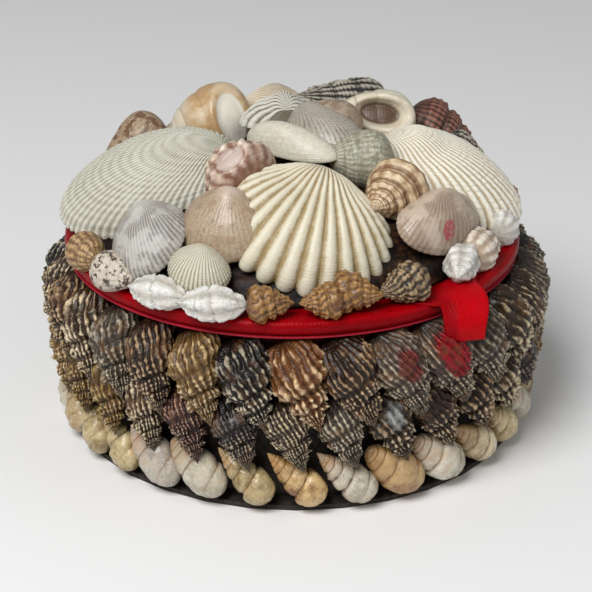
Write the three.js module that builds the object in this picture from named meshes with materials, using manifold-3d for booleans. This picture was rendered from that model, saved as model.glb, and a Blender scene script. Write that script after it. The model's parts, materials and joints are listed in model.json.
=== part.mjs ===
import * as THREE from "three";
import { mergeVertices } from "three/addons/utils/BufferGeometryUtils.js";
import Module from "manifold-3d";

const wasm = await Module();
wasm.setup();

// A round trinket box. A card drum is lined with red cloth, three rows of small shells
// go round its wall, and larger shells are heaped on a lid that a cloth strip hinges.
// Millimetres, +Z up, origin in the middle of the underside, hinge at +Y, pull tab at -Y.

// Drum and its cloth
const rimHeight = 46.4;
const wallRadius = 54;
const wallThickness = 1.8;
const baseRadius = 59;
const baseThickness = 1.3;
const clothThickness = 0.6;
const rimTurnDown = 9;
const restGap = 0.3;
const roundSides = 32;

// Lid board, its lining, the pull tab and the hinge strip
const lidRadius = 58.6;
const lidShift = -1.4;
const boardThickness = 3.7;
const boardBevel = 0.7;
const liningThickness = 0.5;
const liningInset = 0.6;
const tabWidth = 10.4;
const tabThickness = 1;
const tabDrop = 9.8;
const tabOverhang = 8.2;
const tabRootReach = 5;
const tabFlare = 0.9;
const tabTwist = -34;
const hingeWidth = 42;
const hingeWallReach = 13;
const hingeLidReach = 3.2;
const hingeSteps = 6;

// Glue bed that the heap of shells is set in
const bedRadius = 0.8703 * lidRadius;
const bedHeight = 0.3413 * lidRadius;
const bedRoundness = 0.6;
const bedSides = 18;
const bedRings = 3;

// The heap's showy side faces this far round from the pull tab, in degrees. The sizes and
// places of its shells are for a lid of radius 58.6, and change with the lid's.
const heapTurn = -45;
const heapHeart = -12;
const heapScale = lidRadius / 58.6;
const cockleWall = 1.6;
const cockleRib = 0.5;
const beakShare = 0.9;

// Rows of shells on the wall. A foot is the thick end and a head the spire's tip, `slip` is
// how far the head is to the side of the foot, and `step` is from shell to shell in widths.
// `lowered` is how much lower the shells by the hinge are set, which lets the lid turn back.
const upperRow = {
  foot: { out: 5.9, height: rimHeight - 0.2 },
  head: { out: 8.6, height: 0.5172 * rimHeight },
  slip: 9,
  width: 13.4,
  depth: 10.2,
  step: 0.935,
  start: 0.36,
  lowered: 3.4,
};
const middleRow = {
  foot: { out: 5.2, height: 0.6681 * rimHeight },
  head: { out: 8.4, height: 0.2716 * rimHeight },
  slip: 8,
  width: 13.4,
  depth: 9.6,
  step: 0.935,
  start: 0.13,
  stations: [0.42, 0.8],
};
const bottomRow = {
  foot: { out: 5.8, height: baseThickness + 2.1 },
  head: { out: 5, height: 0.3362 * rimHeight },
  slip: -14,
  width: 13.2,
  depth: 8.8,
  step: 0.947,
  start: 0.21,
  tip: 0.85,
  stations: [0.36, 0.8],
};

const colours = {
  card: 0x1d1712,
  redCloth: 0x8e0713,
  ribbon: 0xc40812,
  glue: 0x6b3a17,
  darkShell: 0x5a4a3c,
  paleShell: 0xcdbb93,
  whiteShell: 0xe6e1d0,
  lilacShell: 0xbfb3ae,
  tanShell: 0xb99a77,
  goldShell: 0x9c6d35,
};

const material = (colour, roughness) =>
  new THREE.MeshStandardMaterial({ color: colour, roughness, metalness: 0 });

// Heights that follow from the stack of pieces
const clothOutside = wallRadius + restGap + clothThickness;
const wallTop = rimHeight - clothThickness - restGap;
const liningBottom = rimHeight + restGap;
const boardBottom = liningBottom + liningThickness + restGap;
const boardTop = boardBottom + boardThickness;
const strapInside = lidRadius + restGap;

// A closed solid turned round Z from a profile of [radius, height] points.
function turnedGeometry(profile, sides = roundSides) {
  const points = profile.map(([radius, height]) => new THREE.Vector2(radius, height));
  return new THREE.LatheGeometry(points, sides).rotateX(Math.PI / 2);
}

function discGeometry(radius, bottom, top, sides = roundSides) {
  return turnedGeometry([[0, bottom], [radius, bottom], [radius, top], [0, top]], sides);
}

// One closed skin over rings of points, with a pole at each end.
function loftGeometry(firstPole, rings, lastPole) {
  const points = [firstPole, ...rings.flat(), lastPole];
  const around = rings[0].length;
  const lastRing = 1 + (rings.length - 1) * around;
  const index = [];
  for (let j = 0; j < around; j++) {
    const k = (j + 1) % around;
    index.push(0, 1 + j, 1 + k);
    for (let i = 0; i + 1 < rings.length; i++) {
      const a = 1 + i * around;
      const b = a + around;
      index.push(a + j, b + j, b + k, a + j, b + k, a + k);
    }
    index.push(lastRing + j, points.length - 1, lastRing + k);
  }
  const geometry = new THREE.BufferGeometry().setFromPoints(points);
  geometry.setIndex(index);
  return geometry;
}

function solidOf(geometry) {
  const bare = new THREE.BufferGeometry();
  bare.setAttribute("position", geometry.getAttribute("position"));
  bare.setIndex(geometry.index);
  const merged = mergeVertices(bare, 1e-4);
  return new wasm.Manifold(
    new wasm.Mesh({
      numProp: 3,
      vertProperties: merged.attributes.position.array,
      triVerts: new Uint32Array(merged.index.array),
    }),
  );
}

function geometryOf(solid) {
  const mesh = solid.getMesh();
  const geometry = new THREE.BufferGeometry();
  geometry.setAttribute("position", new THREE.BufferAttribute(mesh.vertProperties, 3));
  geometry.setIndex(new THREE.BufferAttribute(mesh.triVerts, 1));
  return geometry.toNonIndexed();
}

// The largest body of a solid, without the crumbs that a cut can leave.
function mainBody(solid) {
  const bodies = solid.decompose();
  return bodies.reduce((best, body) => (body.volume() > best.volume() ? body : best));
}

function boxesMeet(a, b) {
  const [p, q] = [a.boundingBox(), b.boundingBox()];
  return [0, 1, 2].every((i) => p.min[i] < q.max[i] && q.min[i] < p.max[i]);
}

function namedMesh(name, geometry, look) {
  const shown = geometry.index ? geometry.toNonIndexed() : geometry;
  shown.computeVertexNormals();
  const mesh = new THREE.Mesh(shown, look);
  mesh.name = name;
  return mesh;
}

// How wide a coiled shell is at a share of the way from its tip, out of its fullest.
// `tip` is 1 for a pointed cone and 0.5 for a dome, and `belly` brings the fullest lower.
function swell(t, { tip = 0.9, belly = 3, end = 0.5 }) {
  const fullest = tip / (tip + belly * end);
  const peak = fullest ** (tip / belly) * (1 - fullest) ** end;
  return (t ** tip * (1 - t ** belly) ** end) / peak;
}

// A coiled shell lies along Y with its spire at +Y.
function coiledGeometry(form, grow = 0) {
  const { length, width, depth = width, sides = 6, stations = [0.25, 0.56, 0.86] } = form;
  const full = length + 2 * grow;
  const skin = stations.map((t) =>
    Array.from({ length: sides }, (_, j) => {
      const angle = (2 * Math.PI * (j + 0.5)) / sides;
      const radius = swell(t, form);
      return new THREE.Vector3(
        (width / 2 + grow) * radius * Math.sin(angle),
        full / 2 - t * full,
        (depth / 2 + grow) * radius * Math.cos(angle),
      );
    }),
  );
  return loftGeometry(new THREE.Vector3(0, full / 2, 0), skin, new THREE.Vector3(0, -full / 2, 0));
}

// One valve lies in XY with its beak at +Y and its back up, and its ribs fan from the beak.
function valveGeometry(form, grow = 0) {
  const { length, width, bulge, ribs = 0, ribDepth = 0, columns = 2 * ribs || 12 } = form;
  const [a, b] = [width / 2 + grow, length / 2 + grow];
  const beak = beakShare * b;
  const height = (x, y) => {
    const inside = Math.max(0, 1 - (x / a) ** 2 - (y / b) ** 2);
    return (bulge + grow) * inside ** 0.6 * (1 + (0.25 * y) / b);
  };
  const place = (share, j) => {
    const angle = (2 * Math.PI * j) / columns;
    const fade = share * Math.min(1, 1.2 + Math.cos(angle));
    const rib = ribDepth * Math.cos(ribs * angle) * fade;
    const x = share * (a + rib) * Math.sin(angle);
    const y = beak - share * ((b + rib) * Math.cos(angle) + beak);
    return new THREE.Vector3(x, y, height(x, y) + rib);
  };
  const skin = (ribs ? [0.4, 0.75, 1] : [0.45, 0.8, 1]).map((share) =>
    Array.from({ length: columns }, (_, j) => place(share, j)),
  );
  const bottom = new THREE.Vector3(0, 0, -0.8 - 3 * grow);
  return loftGeometry(new THREE.Vector3(0, beak, height(0, beak)), skin, bottom);
}

// The hollow under a valve leaves a wall of its own thickness.
function hollowGeometry({ length, width, bulge, wall }) {
  const inner = { length: length - 2 * wall, width: width - 2 * wall, bulge: bulge - wall + 2 };
  return valveGeometry({ ...inner, columns: 10 }).translate(0, 0, -2);
}

// Stands a form between its foot and its head, with its back to the outside.
function standing(foot, head, outward, roll = 0) {
  const along = head.clone().sub(foot).normalize();
  const back = outward.clone().addScaledVector(along, -outward.dot(along)).normalize();
  back.applyAxisAngle(along, THREE.MathUtils.degToRad(roll));
  const side = along.clone().cross(back);
  const matrix = new THREE.Matrix4().makeBasis(side, along, back);
  return matrix.setPosition(foot.clone().add(head).multiplyScalar(0.5));
}

function polarPoint(radius, angle, height) {
  return new THREE.Vector3(radius * Math.cos(angle), radius * Math.sin(angle), height);
}

// The outline of a thin strip that follows a path of [x, y] points.
function stripOutline(path, thickness) {
  const points = path.map(([x, y]) => new THREE.Vector2(x, y));
  const side = (sign) =>
    points.map((p, i) => {
      const before = points[Math.max(0, i - 1)];
      const after = points[Math.min(points.length - 1, i + 1)];
      const run = after.clone().sub(before).normalize();
      const bend = i && i + 1 < points.length ? p.clone().sub(before).normalize().dot(run) : 1;
      const reach = (sign * thickness) / 2 / bend;
      return new THREE.Vector2(p.x - run.y * reach, p.y + run.x * reach);
    });
  return new THREE.Shape([...side(1), ...side(-1).reverse()]);
}

// The lining goes up inside the wall, over the rim and down the outside.
function rimClothGeometry() {
  const inside = wallRadius - wallThickness - restGap;
  const foot = baseThickness + restGap;
  const hem = rimHeight - rimTurnDown;
  const profile = [
    [inside - clothThickness, foot],
    [inside, foot],
    [inside, rimHeight - clothThickness],
    [clothOutside - clothThickness, rimHeight - clothThickness],
    [clothOutside - clothThickness, hem],
    [clothOutside, hem],
    [clothOutside, rimHeight],
    [inside - clothThickness, rimHeight],
  ];
  return turnedGeometry([...profile, profile[0]]);
}

function drumWallGeometry() {
  const inside = wallRadius - wallThickness;
  const foot = baseThickness + restGap;
  const profile = [[inside, foot], [wallRadius, foot], [wallRadius, wallTop], [inside, wallTop]];
  return turnedGeometry([...profile, profile[0]]);
}

function lidBoardGeometry() {
  return turnedGeometry([
    [0, boardBottom],
    [lidRadius - boardBevel, boardBottom],
    [lidRadius, boardBottom + boardBevel],
    [lidRadius, boardTop - boardBevel],
    [lidRadius - boardBevel, boardTop],
    [0, boardTop],
  ]);
}

// The strip is glued to the wall under the shells and to the edge of the lid.
function hingeClothGeometry(thickness = clothThickness) {
  const middle = clothThickness / 2;
  const wallSide = clothOutside + restGap + middle;
  const lidSide = strapInside + middle;
  const path = [
    [wallSide, rimHeight - hingeWallReach],
    [wallSide, rimHeight - 3],
    [lidSide, rimHeight],
    [lidSide, boardBottom + hingeLidReach],
  ];
  const strip = new THREE.ExtrudeGeometry(stripOutline(path, thickness), {
    depth: hingeWidth,
    steps: hingeSteps,
    bevelEnabled: false,
  });
  const place = strip.getAttribute("position");
  for (let i = 0; i < place.count; i++) {
    const [radius, height, run] = [place.getX(i), place.getY(i), place.getZ(i)];
    const angle = Math.PI / 2 + (hingeWidth / 2 - run) / wallRadius;
    const onLid = THREE.MathUtils.clamp((height - rimHeight + 3) / 3, 0, 1);
    const x = radius * Math.cos(angle) + onLid * lidShift;
    place.setXYZ(i, x, radius * Math.sin(angle), height);
  }
  return strip;
}

// The ribbon lies on the lid, spreads at its root, twists a little and hangs over the shells.
function pullTabGeometry(grow = 0) {
  const lie = boardTop + restGap + tabThickness / 2;
  const width = tabWidth + 2 * grow;
  const drape = lidRadius + tabOverhang;
  const path = [
    [lidRadius - tabRootReach, lie],
    [lidRadius + 0.4, lie],
    [lidRadius + 0.6 * tabOverhang, lie - 2.2],
    [drape, lie - 5.6],
    [drape, lie - tabDrop - grow],
  ];
  const strip = new THREE.ExtrudeGeometry(stripOutline(path, tabThickness + 2 * grow), {
    depth: width,
    bevelEnabled: false,
  });
  const place = strip.getAttribute("position");
  const point = new THREE.Vector2();
  const root = new THREE.Vector2(0, -lidRadius);
  for (let i = 0; i < place.count; i++) {
    const [reach, height, run] = [place.getX(i), place.getY(i), place.getZ(i)];
    const beyond = (reach - lidRadius) / tabOverhang;
    const onLid = THREE.MathUtils.clamp((lidRadius - reach) / tabRootReach, 0, 1);
    const twist = THREE.MathUtils.degToRad(tabTwist) * THREE.MathUtils.clamp(beyond, 0, 1);
    point.set((width / 2 - run) * (1 + tabFlare * onLid), -reach).rotateAround(root, twist);
    place.setXYZ(i, point.x, point.y, height);
  }
  return strip;
}

// Height of the bed above the board, at a distance from the lid's middle.
function bedRise(radius) {
  return bedHeight * Math.max(0, 1 - (radius / bedRadius) ** 2) ** bedRoundness;
}

function bedGeometry(grow = 0) {
  const profile = [[0, boardTop + restGap - grow]];
  for (let n = 0; n <= bedRings; n++) {
    const radius = bedRadius * Math.cos((Math.PI / 2) * (n / bedRings));
    profile.push([n < bedRings ? radius + grow : 0, boardTop + restGap + bedRise(radius) + grow]);
  }
  profile[1][1] -= grow;
  return turnedGeometry(profile, bedSides);
}

// Shells that touch side by side round the wall, joined where they touch.
function shellRow(row, grow = 0) {
  const reach = wallRadius + row.foot.out;
  const count = Math.round((2 * Math.PI * reach) / (row.width * row.step));
  const turn = row.slip / 2 / reach;
  const shells = [];
  for (let n = 0; n < count; n++) {
    const angle = (2 * Math.PI * (n + row.start)) / count - Math.PI / 2;
    const fromHinge = reach * Math.acos(Math.sin(angle));
    const lowered = row.lowered && fromHinge < hingeWidth / 2 + row.width ? row.lowered : 0;
    const foot = polarPoint(reach, angle - turn, row.foot.height - lowered);
    const head = polarPoint(wallRadius + row.head.out, angle + turn, row.head.height);
    const geometry = coiledGeometry({ ...row, length: foot.distanceTo(head) }, grow);
    geometry.applyMatrix4(standing(foot, head, polarPoint(1, angle, 0)));
    shells.push(solidOf(geometry));
  }
  return shells.reduce((joined, shell) => joined.add(shell));
}

// The space that the drum takes up, with a little room all round it.
function drumSpace() {
  const wall = solidOf(discGeometry(clothOutside + restGap, 0, rimHeight + 1));
  const ledge = solidOf(discGeometry(baseRadius + 12, -1, baseThickness + restGap));
  const strap = solidOf(hingeClothGeometry(clothThickness + 2 * restGap));
  return wall.add(ledge).add(strap);
}

// The space that the tab hangs in, a little wider than the tab.
function tabSpace() {
  return solidOf(pullTabGeometry(restGap).translate(lidShift, 0, 0));
}

// Forms of the shells in the heap. Lengths come from where each one stands.
const cockle = (width, bulge, ribs) => ({
  make: valveGeometry,
  width,
  bulge,
  ribs,
  ribDepth: cockleRib,
  wall: cockleWall,
});
const clam = (width, bulge) => ({ make: valveGeometry, width, bulge });
const snail = (width, depth) => ({ make: coiledGeometry, width, depth });
const roundSnail = (width) => ({ make: coiledGeometry, width, tip: 0.5 });
const spindle = (width) => ({ make: coiledGeometry, width, tip: 1, belly: 1.6, end: 1 });
const bead = (width) => ({ make: coiledGeometry, width, tip: 0.7 });

// Each shell of the heap: name, colour, form, then foot and head as [right, away, lift].
// Right and away are seen from the showy side, and lift is above the bed or the board.
const heap = [
  ["front_cockle", "whiteShell", cockle(42, 11, 16), [-2, -49, 0.5], [7, -20, 2.5]],
  ["left_cockle", "whiteShell", cockle(35, 11, 18), [-59, 1, 6], [-12, -10, 4]],
  ["right_cockle", "whiteShell", cockle(36, 11, 15), [58, 2, 4.5], [17, -2, 2.5]],
  ["back_cockle", "whiteShell", cockle(36, 10, 15), [-8, 50, 0.5], [-3, 22, 2]],
  ["moon_snail", "tanShell", roundSnail(20), [-11, 21, 5.5], [-32, 19, 4.5]],
  ["open_snail", "whiteShell", roundSnail(17), [32, 19, 7], [11, 15, 5.5]],
  ["beaded_top", "goldShell", snail(16), [30, 29, 6], [52, 25, 5.5]],
  ["tan_clam", "tanShell", clam(22, 8), [-20, -44, 4], [-12, -30, 6]],
  ["pink_snail", "tanShell", snail(16), [-11, -30, 4.5], [-17, -15, 6.5]],
  ["lilac_clam", "lilacShell", clam(22, 8), [-37, -43.5, 3.5], [-31, -26, 4.5]],
  ["right_clam", "lilacShell", clam(24, 8), [40, -37, 3.5], [31, -25, 5.5]],
  ["turban", "goldShell", snail(15), [29, -17, 5], [19, -33, 5.5]],
  ["green_nerite", "lilacShell", roundSnail(15), [25, -13, 6.5], [9, -14, 5]],
  ["top_cockle", "whiteShell", cockle(20, 7, 11), [-4, 19, 3.5], [-1, 1, 5.5]],
  ["white_clam", "whiteShell", clam(15, 6), [13, -18, 5], [-12, -1, 4]],
  ["grey_clam", "lilacShell", clam(17, 7), [20, -9, 5], [-1, 7, 5]],
  ["beige_snail", "tanShell", roundSnail(13), [16, 0, 6], [4, 12, 7]],
  ["ribbed_top", "darkShell", snail(12), [25, 24, 9.5], [1, 15, 10.5]],
  ["mottled_snail", "tanShell", snail(13), [-34, 29, 5], [-52, 21, 6]],
  ["green_clam", "paleShell", clam(16, 5), [-24, -53, 2.5], [-19, -43, 1.5]],
  ["gold_bead", "goldShell", bead(10), [-53, -23, 4], [-47, -33, 4]],
  ["spotted_bead", "whiteShell", bead(10), [-47, -35, 4], [-38, -44, 4]],
  ["left_spindle", "whiteShell", spindle(9.5), [-25, -53, 4], [-39, -45, 4]],
  ["front_spindle", "whiteShell", spindle(10), [-10.5, -56.5, 4], [-27, -53.5, 4]],
  ["brown_bead", "goldShell", bead(8.5), [-9.5, -56.5, 3.8], [1.5, -55.5, 3.8]],
  ["gold_whelk", "goldShell", bead(8.5), [12, -54, 3.8], [1.5, -56, 3.8]],
  ["amber_whelk", "goldShell", bead(9.5), [9, -51, 5], [22, -52, 4]],
  ["dark_whelk", "darkShell", snail(9.5), [33, -43, 4.6], [21, -52, 4]],
  ["drop_spindle", "whiteShell", spindle(7), [41.5, -27, 4.2], [40.5, -41, 3.4]],
  ["pink_bead", "paleShell", bead(10.5), [44, -33.5, 4.4], [52.5, -19, 4.4]],
  ["edge_bead", "paleShell", bead(9.5), [54, -17, 4], [56, -4, 4]],
  ["side_bead", "goldShell", bead(9.5), [55, 2, 4.2], [52, 15, 4.2]],
  ["side_snail", "darkShell", snail(12), [38, 20, 6], [54, 19, 6]],
  ["back_clam", "lilacShell", clam(22, 7), [36, 42, 2.5], [21, 29, 3.5]],
  ["back_spindle", "whiteShell", spindle(9), [44, 33, 4], [30, 46, 4]],
  ["back_bead", "paleShell", bead(10), [12, 53, 4.4], [25, 47, 4.4]],
  ["hinge_clam", "tanShell", clam(21, 6), [-33, 40, 1], [-24, 28, 4.5]],
  ["hinge_bead", "darkShell", bead(9.5), [-50, 19, 4.4], [-55, 6, 4.4]],
  ["hinge_snail", "goldShell", bead(9), [-41, 33, 3.6], [-48, 21, 4]],
];

function heapPoint([right, away, lift]) {
  const height = boardTop + bedRise(Math.hypot(right, away) * heapScale) + lift * heapScale;
  const turn = THREE.MathUtils.degToRad(heapTurn);
  const point = new THREE.Vector3(right * heapScale, away * heapScale, height);
  return point.applyAxisAngle(new THREE.Vector3(0, 0, 1), turn);
}

function buildHeap(fixed) {
  const placed = [];
  for (const [name, colour, form, foot, head] of heap) {
    const [low, high] = [heapPoint(foot), heapPoint(head)];
    const middle = low.clone().add(high).multiplyScalar(0.5);
    const outward = middle.clone().sub(new THREE.Vector3(0, 0, boardTop + heapHeart * heapScale));
    const stand = standing(low, high, outward.normalize());
    const whole = { ...form, length: low.distanceTo(high) };
    for (const size of ["width", "depth", "bulge", "wall", "ribDepth"]) {
      if (whole[size]) whole[size] *= heapScale;
    }
    const solidAt = (grow) => solidOf(form.make(whole, grow).applyMatrix4(stand));
    let shell = solidAt(0);
    if (form.wall) shell = shell.subtract(solidOf(hollowGeometry(whole).applyMatrix4(stand)));
    for (const other of [...fixed, ...placed.map((p) => p.grown)]) {
      if (boxesMeet(shell, other)) shell = shell.subtract(other);
    }
    placed.push({ name, colour, shell: mainBody(shell), grown: solidAt(restGap) });
  }
  return placed;
}

function buildBox() {
  const box = new THREE.Group();
  const card = material(colours.card, 0.9);
  const cloth = material(colours.redCloth, 0.85);
  const floorBottom = baseThickness + restGap;
  const floorRadius = wallRadius - wallThickness - clothThickness - 2 * restGap;
  const floor = discGeometry(floorRadius, floorBottom, floorBottom + clothThickness);
  box.add(
    namedMesh("base_board", discGeometry(baseRadius, 0, baseThickness), card),
    namedMesh("drum_wall", drumWallGeometry(), card),
    namedMesh("rim_cloth", rimClothGeometry(), cloth),
    namedMesh("floor_cloth", floor, cloth),
    namedMesh("hinge_cloth", hingeClothGeometry(), cloth),
  );
  const drum = drumSpace().add(tabSpace());
  const upper = shellRow(upperRow).subtract(drum);
  const middle = shellRow(middleRow).subtract(drum).subtract(shellRow(upperRow, restGap));
  const bottom = shellRow(bottomRow).subtract(drum).subtract(shellRow(middleRow, restGap));
  const darkLook = material(colours.darkShell, 0.45);
  const paleLook = material(colours.paleShell, 0.4);
  box.add(
    namedMesh("upper_shell_row", geometryOf(mainBody(upper)), darkLook),
    namedMesh("middle_shell_row", geometryOf(mainBody(middle)), darkLook),
    namedMesh("bottom_shell_row", geometryOf(mainBody(bottom)), paleLook),
  );
  return box;
}

function buildLid() {
  const lid = new THREE.Group();
  lid.position.x = lidShift;
  const cloth = material(colours.redCloth, 0.85);
  const liningTop = liningBottom + liningThickness;
  const lining = discGeometry(lidRadius - liningInset, liningBottom, liningTop);
  lid.add(
    namedMesh("lid_board", lidBoardGeometry(), cloth),
    namedMesh("lid_lining", lining, cloth),
    namedMesh("pull_tab", pullTabGeometry(), material(colours.ribbon, 0.5)),
    namedMesh("glue_bed", bedGeometry(), material(colours.glue, 0.35)),
  );
  const board = solidOf(discGeometry(lidRadius + 20, boardBottom - 20, boardTop + restGap));
  const tab = solidOf(pullTabGeometry());
  const bed = solidOf(bedGeometry(restGap));
  for (const { name, colour, shell } of buildHeap([board, bed, tab])) {
    lid.add(namedMesh(name, geometryOf(shell), material(colours[colour], 0.4)));
  }
  return lid;
}

const shellBox = new THREE.Group();
shellBox.add(buildBox(), buildLid());

export default shellBox;
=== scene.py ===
import json
import math
import random

import bmesh
import bpy
from mathutils import Matrix, Vector

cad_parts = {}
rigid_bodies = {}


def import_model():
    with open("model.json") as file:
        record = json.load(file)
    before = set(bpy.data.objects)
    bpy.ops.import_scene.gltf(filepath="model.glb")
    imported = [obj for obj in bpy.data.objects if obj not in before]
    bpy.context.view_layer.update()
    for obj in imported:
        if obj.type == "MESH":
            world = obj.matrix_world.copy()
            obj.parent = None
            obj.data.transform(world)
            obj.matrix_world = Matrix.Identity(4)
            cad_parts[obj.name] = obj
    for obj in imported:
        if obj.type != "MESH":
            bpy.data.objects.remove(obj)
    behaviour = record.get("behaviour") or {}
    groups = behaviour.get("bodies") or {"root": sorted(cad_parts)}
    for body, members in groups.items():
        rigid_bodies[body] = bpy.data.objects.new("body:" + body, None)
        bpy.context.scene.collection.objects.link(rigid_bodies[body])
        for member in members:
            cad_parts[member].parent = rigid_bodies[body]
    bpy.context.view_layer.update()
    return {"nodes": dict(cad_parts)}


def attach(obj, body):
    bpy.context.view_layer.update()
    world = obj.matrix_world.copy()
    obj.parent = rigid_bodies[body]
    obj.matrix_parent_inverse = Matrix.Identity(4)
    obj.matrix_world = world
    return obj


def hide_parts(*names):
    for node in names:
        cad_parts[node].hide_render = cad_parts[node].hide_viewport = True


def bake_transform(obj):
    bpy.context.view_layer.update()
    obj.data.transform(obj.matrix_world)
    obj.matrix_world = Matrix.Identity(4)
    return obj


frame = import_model()
mm = 0.001


# small tools for node trees

def feed(tree, place, value):
    if isinstance(value, Field):
        tree.links.new(value.socket, place)
    elif hasattr(value, "is_output"):
        tree.links.new(value, place)
    else:
        place.default_value = value


class Field:
    # one output in a node tree, with ordinary arithmetic on it
    def __init__(self, tree, socket):
        self.tree, self.socket = tree, socket

    def math(self, operation, *others):
        node = self.tree.nodes.new("ShaderNodeMath")
        node.operation = operation
        for place, value in zip(node.inputs, (self, *others)):
            feed(self.tree, place, value)
        return Field(self.tree, node.outputs[0])

    def __add__(self, other):
        return self.math("ADD", other)

    def __sub__(self, other):
        return self.math("SUBTRACT", other)

    def __rsub__(self, other):
        return self.math("MULTIPLY_ADD", -1.0, other)

    def __mul__(self, other):
        return self.math("MULTIPLY", other)

    def __truediv__(self, other):
        return self.math("DIVIDE", other)

    def __pow__(self, other):
        return self.math("POWER", other)

    __radd__ = __add__
    __rmul__ = __mul__

    def sin(self):
        return self.math("SINE")

    def cos(self):
        return self.math("COSINE")

    def wave(self):
        # 0 to 1 and back, once for each whole number
        return (self * (2 * math.pi)).cos() * 0.5 + 0.5

    def part(self):
        return self.math("FRACT")

    def least(self, other):
        return self.math("MINIMUM", other)

    def most(self, other):
        return self.math("MAXIMUM", other)

    def rise(self, low, high):
        # smoothly from 0 at low to 1 at high
        node = self.tree.nodes.new("ShaderNodeMapRange")
        node.interpolation_type = "SMOOTHSTEP"
        feed(self.tree, node.inputs["Value"], self)
        feed(self.tree, node.inputs["From Min"], low)
        feed(self.tree, node.inputs["From Max"], high)
        return Field(self.tree, node.outputs["Result"])


def vectorOf(tree, x, y, z):
    node = tree.nodes.new("ShaderNodeCombineXYZ")
    for place, value in zip(node.inputs, (x, y, z)):
        feed(tree, place, value)
    return Field(tree, node.outputs[0])


def noiseOf(tree, place, scale, detail=3.0, rough=0.55):
    node = tree.nodes.new("ShaderNodeTexNoise")
    feed(tree, node.inputs["Vector"], place)
    feed(tree, node.inputs["Scale"], scale)
    node.inputs["Detail"].default_value = detail
    node.inputs["Roughness"].default_value = rough
    return Field(tree, node.outputs["Fac"])


def newTree(name, inputs):
    # a geometry tree with named inputs, and what reads each of them
    tree = bpy.data.node_groups.new(name, "GeometryNodeTree")
    sockets = {int: "Int", float: "Float", str: None}
    tree.interface.new_socket(name="Geometry", in_out="OUTPUT", socket_type="NodeSocketGeometry")
    tree.interface.new_socket(name="Geometry", in_out="INPUT", socket_type="NodeSocketGeometry")
    for label, value in inputs.items():
        kind = sockets[type(value)] or value
        socket = tree.interface.new_socket(name=label, in_out="INPUT", socket_type="NodeSocket" + kind)
        if not isinstance(value, str):
            socket.default_value = value
    start = tree.nodes.new("NodeGroupInput")
    read = {label: Field(tree, start.outputs[label]) for label in ("Geometry", *inputs)}
    return tree, read


def geometryNode(tree, kind, geometry=None, **values):
    node = tree.nodes.new(kind)
    if geometry is not None:
        feed(tree, node.inputs[0], geometry)
    for label, value in values.items():
        feed(tree, node.inputs[label.replace("_", " ")], value)
    return node


def stored(tree, geometry, name, value):
    node = geometryNode(tree, "GeometryNodeStoreNamedAttribute", geometry)
    node.data_type, node.domain = "FLOAT", "POINT"
    node.inputs["Name"].default_value = name
    feed(tree, node.inputs["Value"], value)
    return Field(tree, node.outputs[0])


def named(tree, name):
    node = tree.nodes.new("GeometryNodeInputNamedAttribute")
    node.data_type = "FLOAT"
    node.inputs["Name"].default_value = name
    return Field(tree, node.outputs["Attribute"])


def close(tree, geometry, read):
    # seam and poles are merged, the relief goes out along the normal, and the finish is set
    merged = geometryNode(tree, "GeometryNodeMergeByDistance", geometry, Distance=2e-6)
    normal = tree.nodes.new("GeometryNodeInputNormal")
    place = tree.nodes.new("GeometryNodeInputPosition")
    rough = noiseOf(tree, place.outputs[0], read["Wear Scale"], 4.0, 0.6) - 0.5
    push = tree.nodes.new("ShaderNodeVectorMath")
    push.operation = "SCALE"
    feed(tree, push.inputs[0], normal.outputs[0])
    feed(tree, push.inputs["Scale"], named(tree, "relief") + rough * read["Wear"])
    moved = geometryNode(tree, "GeometryNodeSetPosition", merged.outputs[0], Offset=push.outputs[0])
    smooth = geometryNode(tree, "GeometryNodeSetShadeSmooth", moved.outputs[0])
    real = geometryNode(tree, "GeometryNodeRealizeInstances", smooth.outputs[0])
    painted = geometryNode(tree, "GeometryNodeSetMaterial", real.outputs[0], Material=read["Finish"])
    end = tree.nodes.new("NodeGroupOutput")
    feed(tree, end.inputs[0], painted.outputs[0])


def gridOf(tree, read):
    grid = tree.nodes.new("GeometryNodeMeshGrid")
    feed(tree, grid.inputs["Vertices X"], read["Columns"] + 1)
    feed(tree, grid.inputs["Vertices Y"], read["Rings"] + 1)
    place = tree.nodes.new("GeometryNodeInputPosition")
    parts = tree.nodes.new("ShaderNodeSeparateXYZ")
    feed(tree, parts.inputs[0], place.outputs[0])
    across, down = Field(tree, parts.outputs[0]) + 0.5, Field(tree, parts.outputs[1]) + 0.5
    return Field(tree, grid.outputs["Mesh"]), across, down


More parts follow.
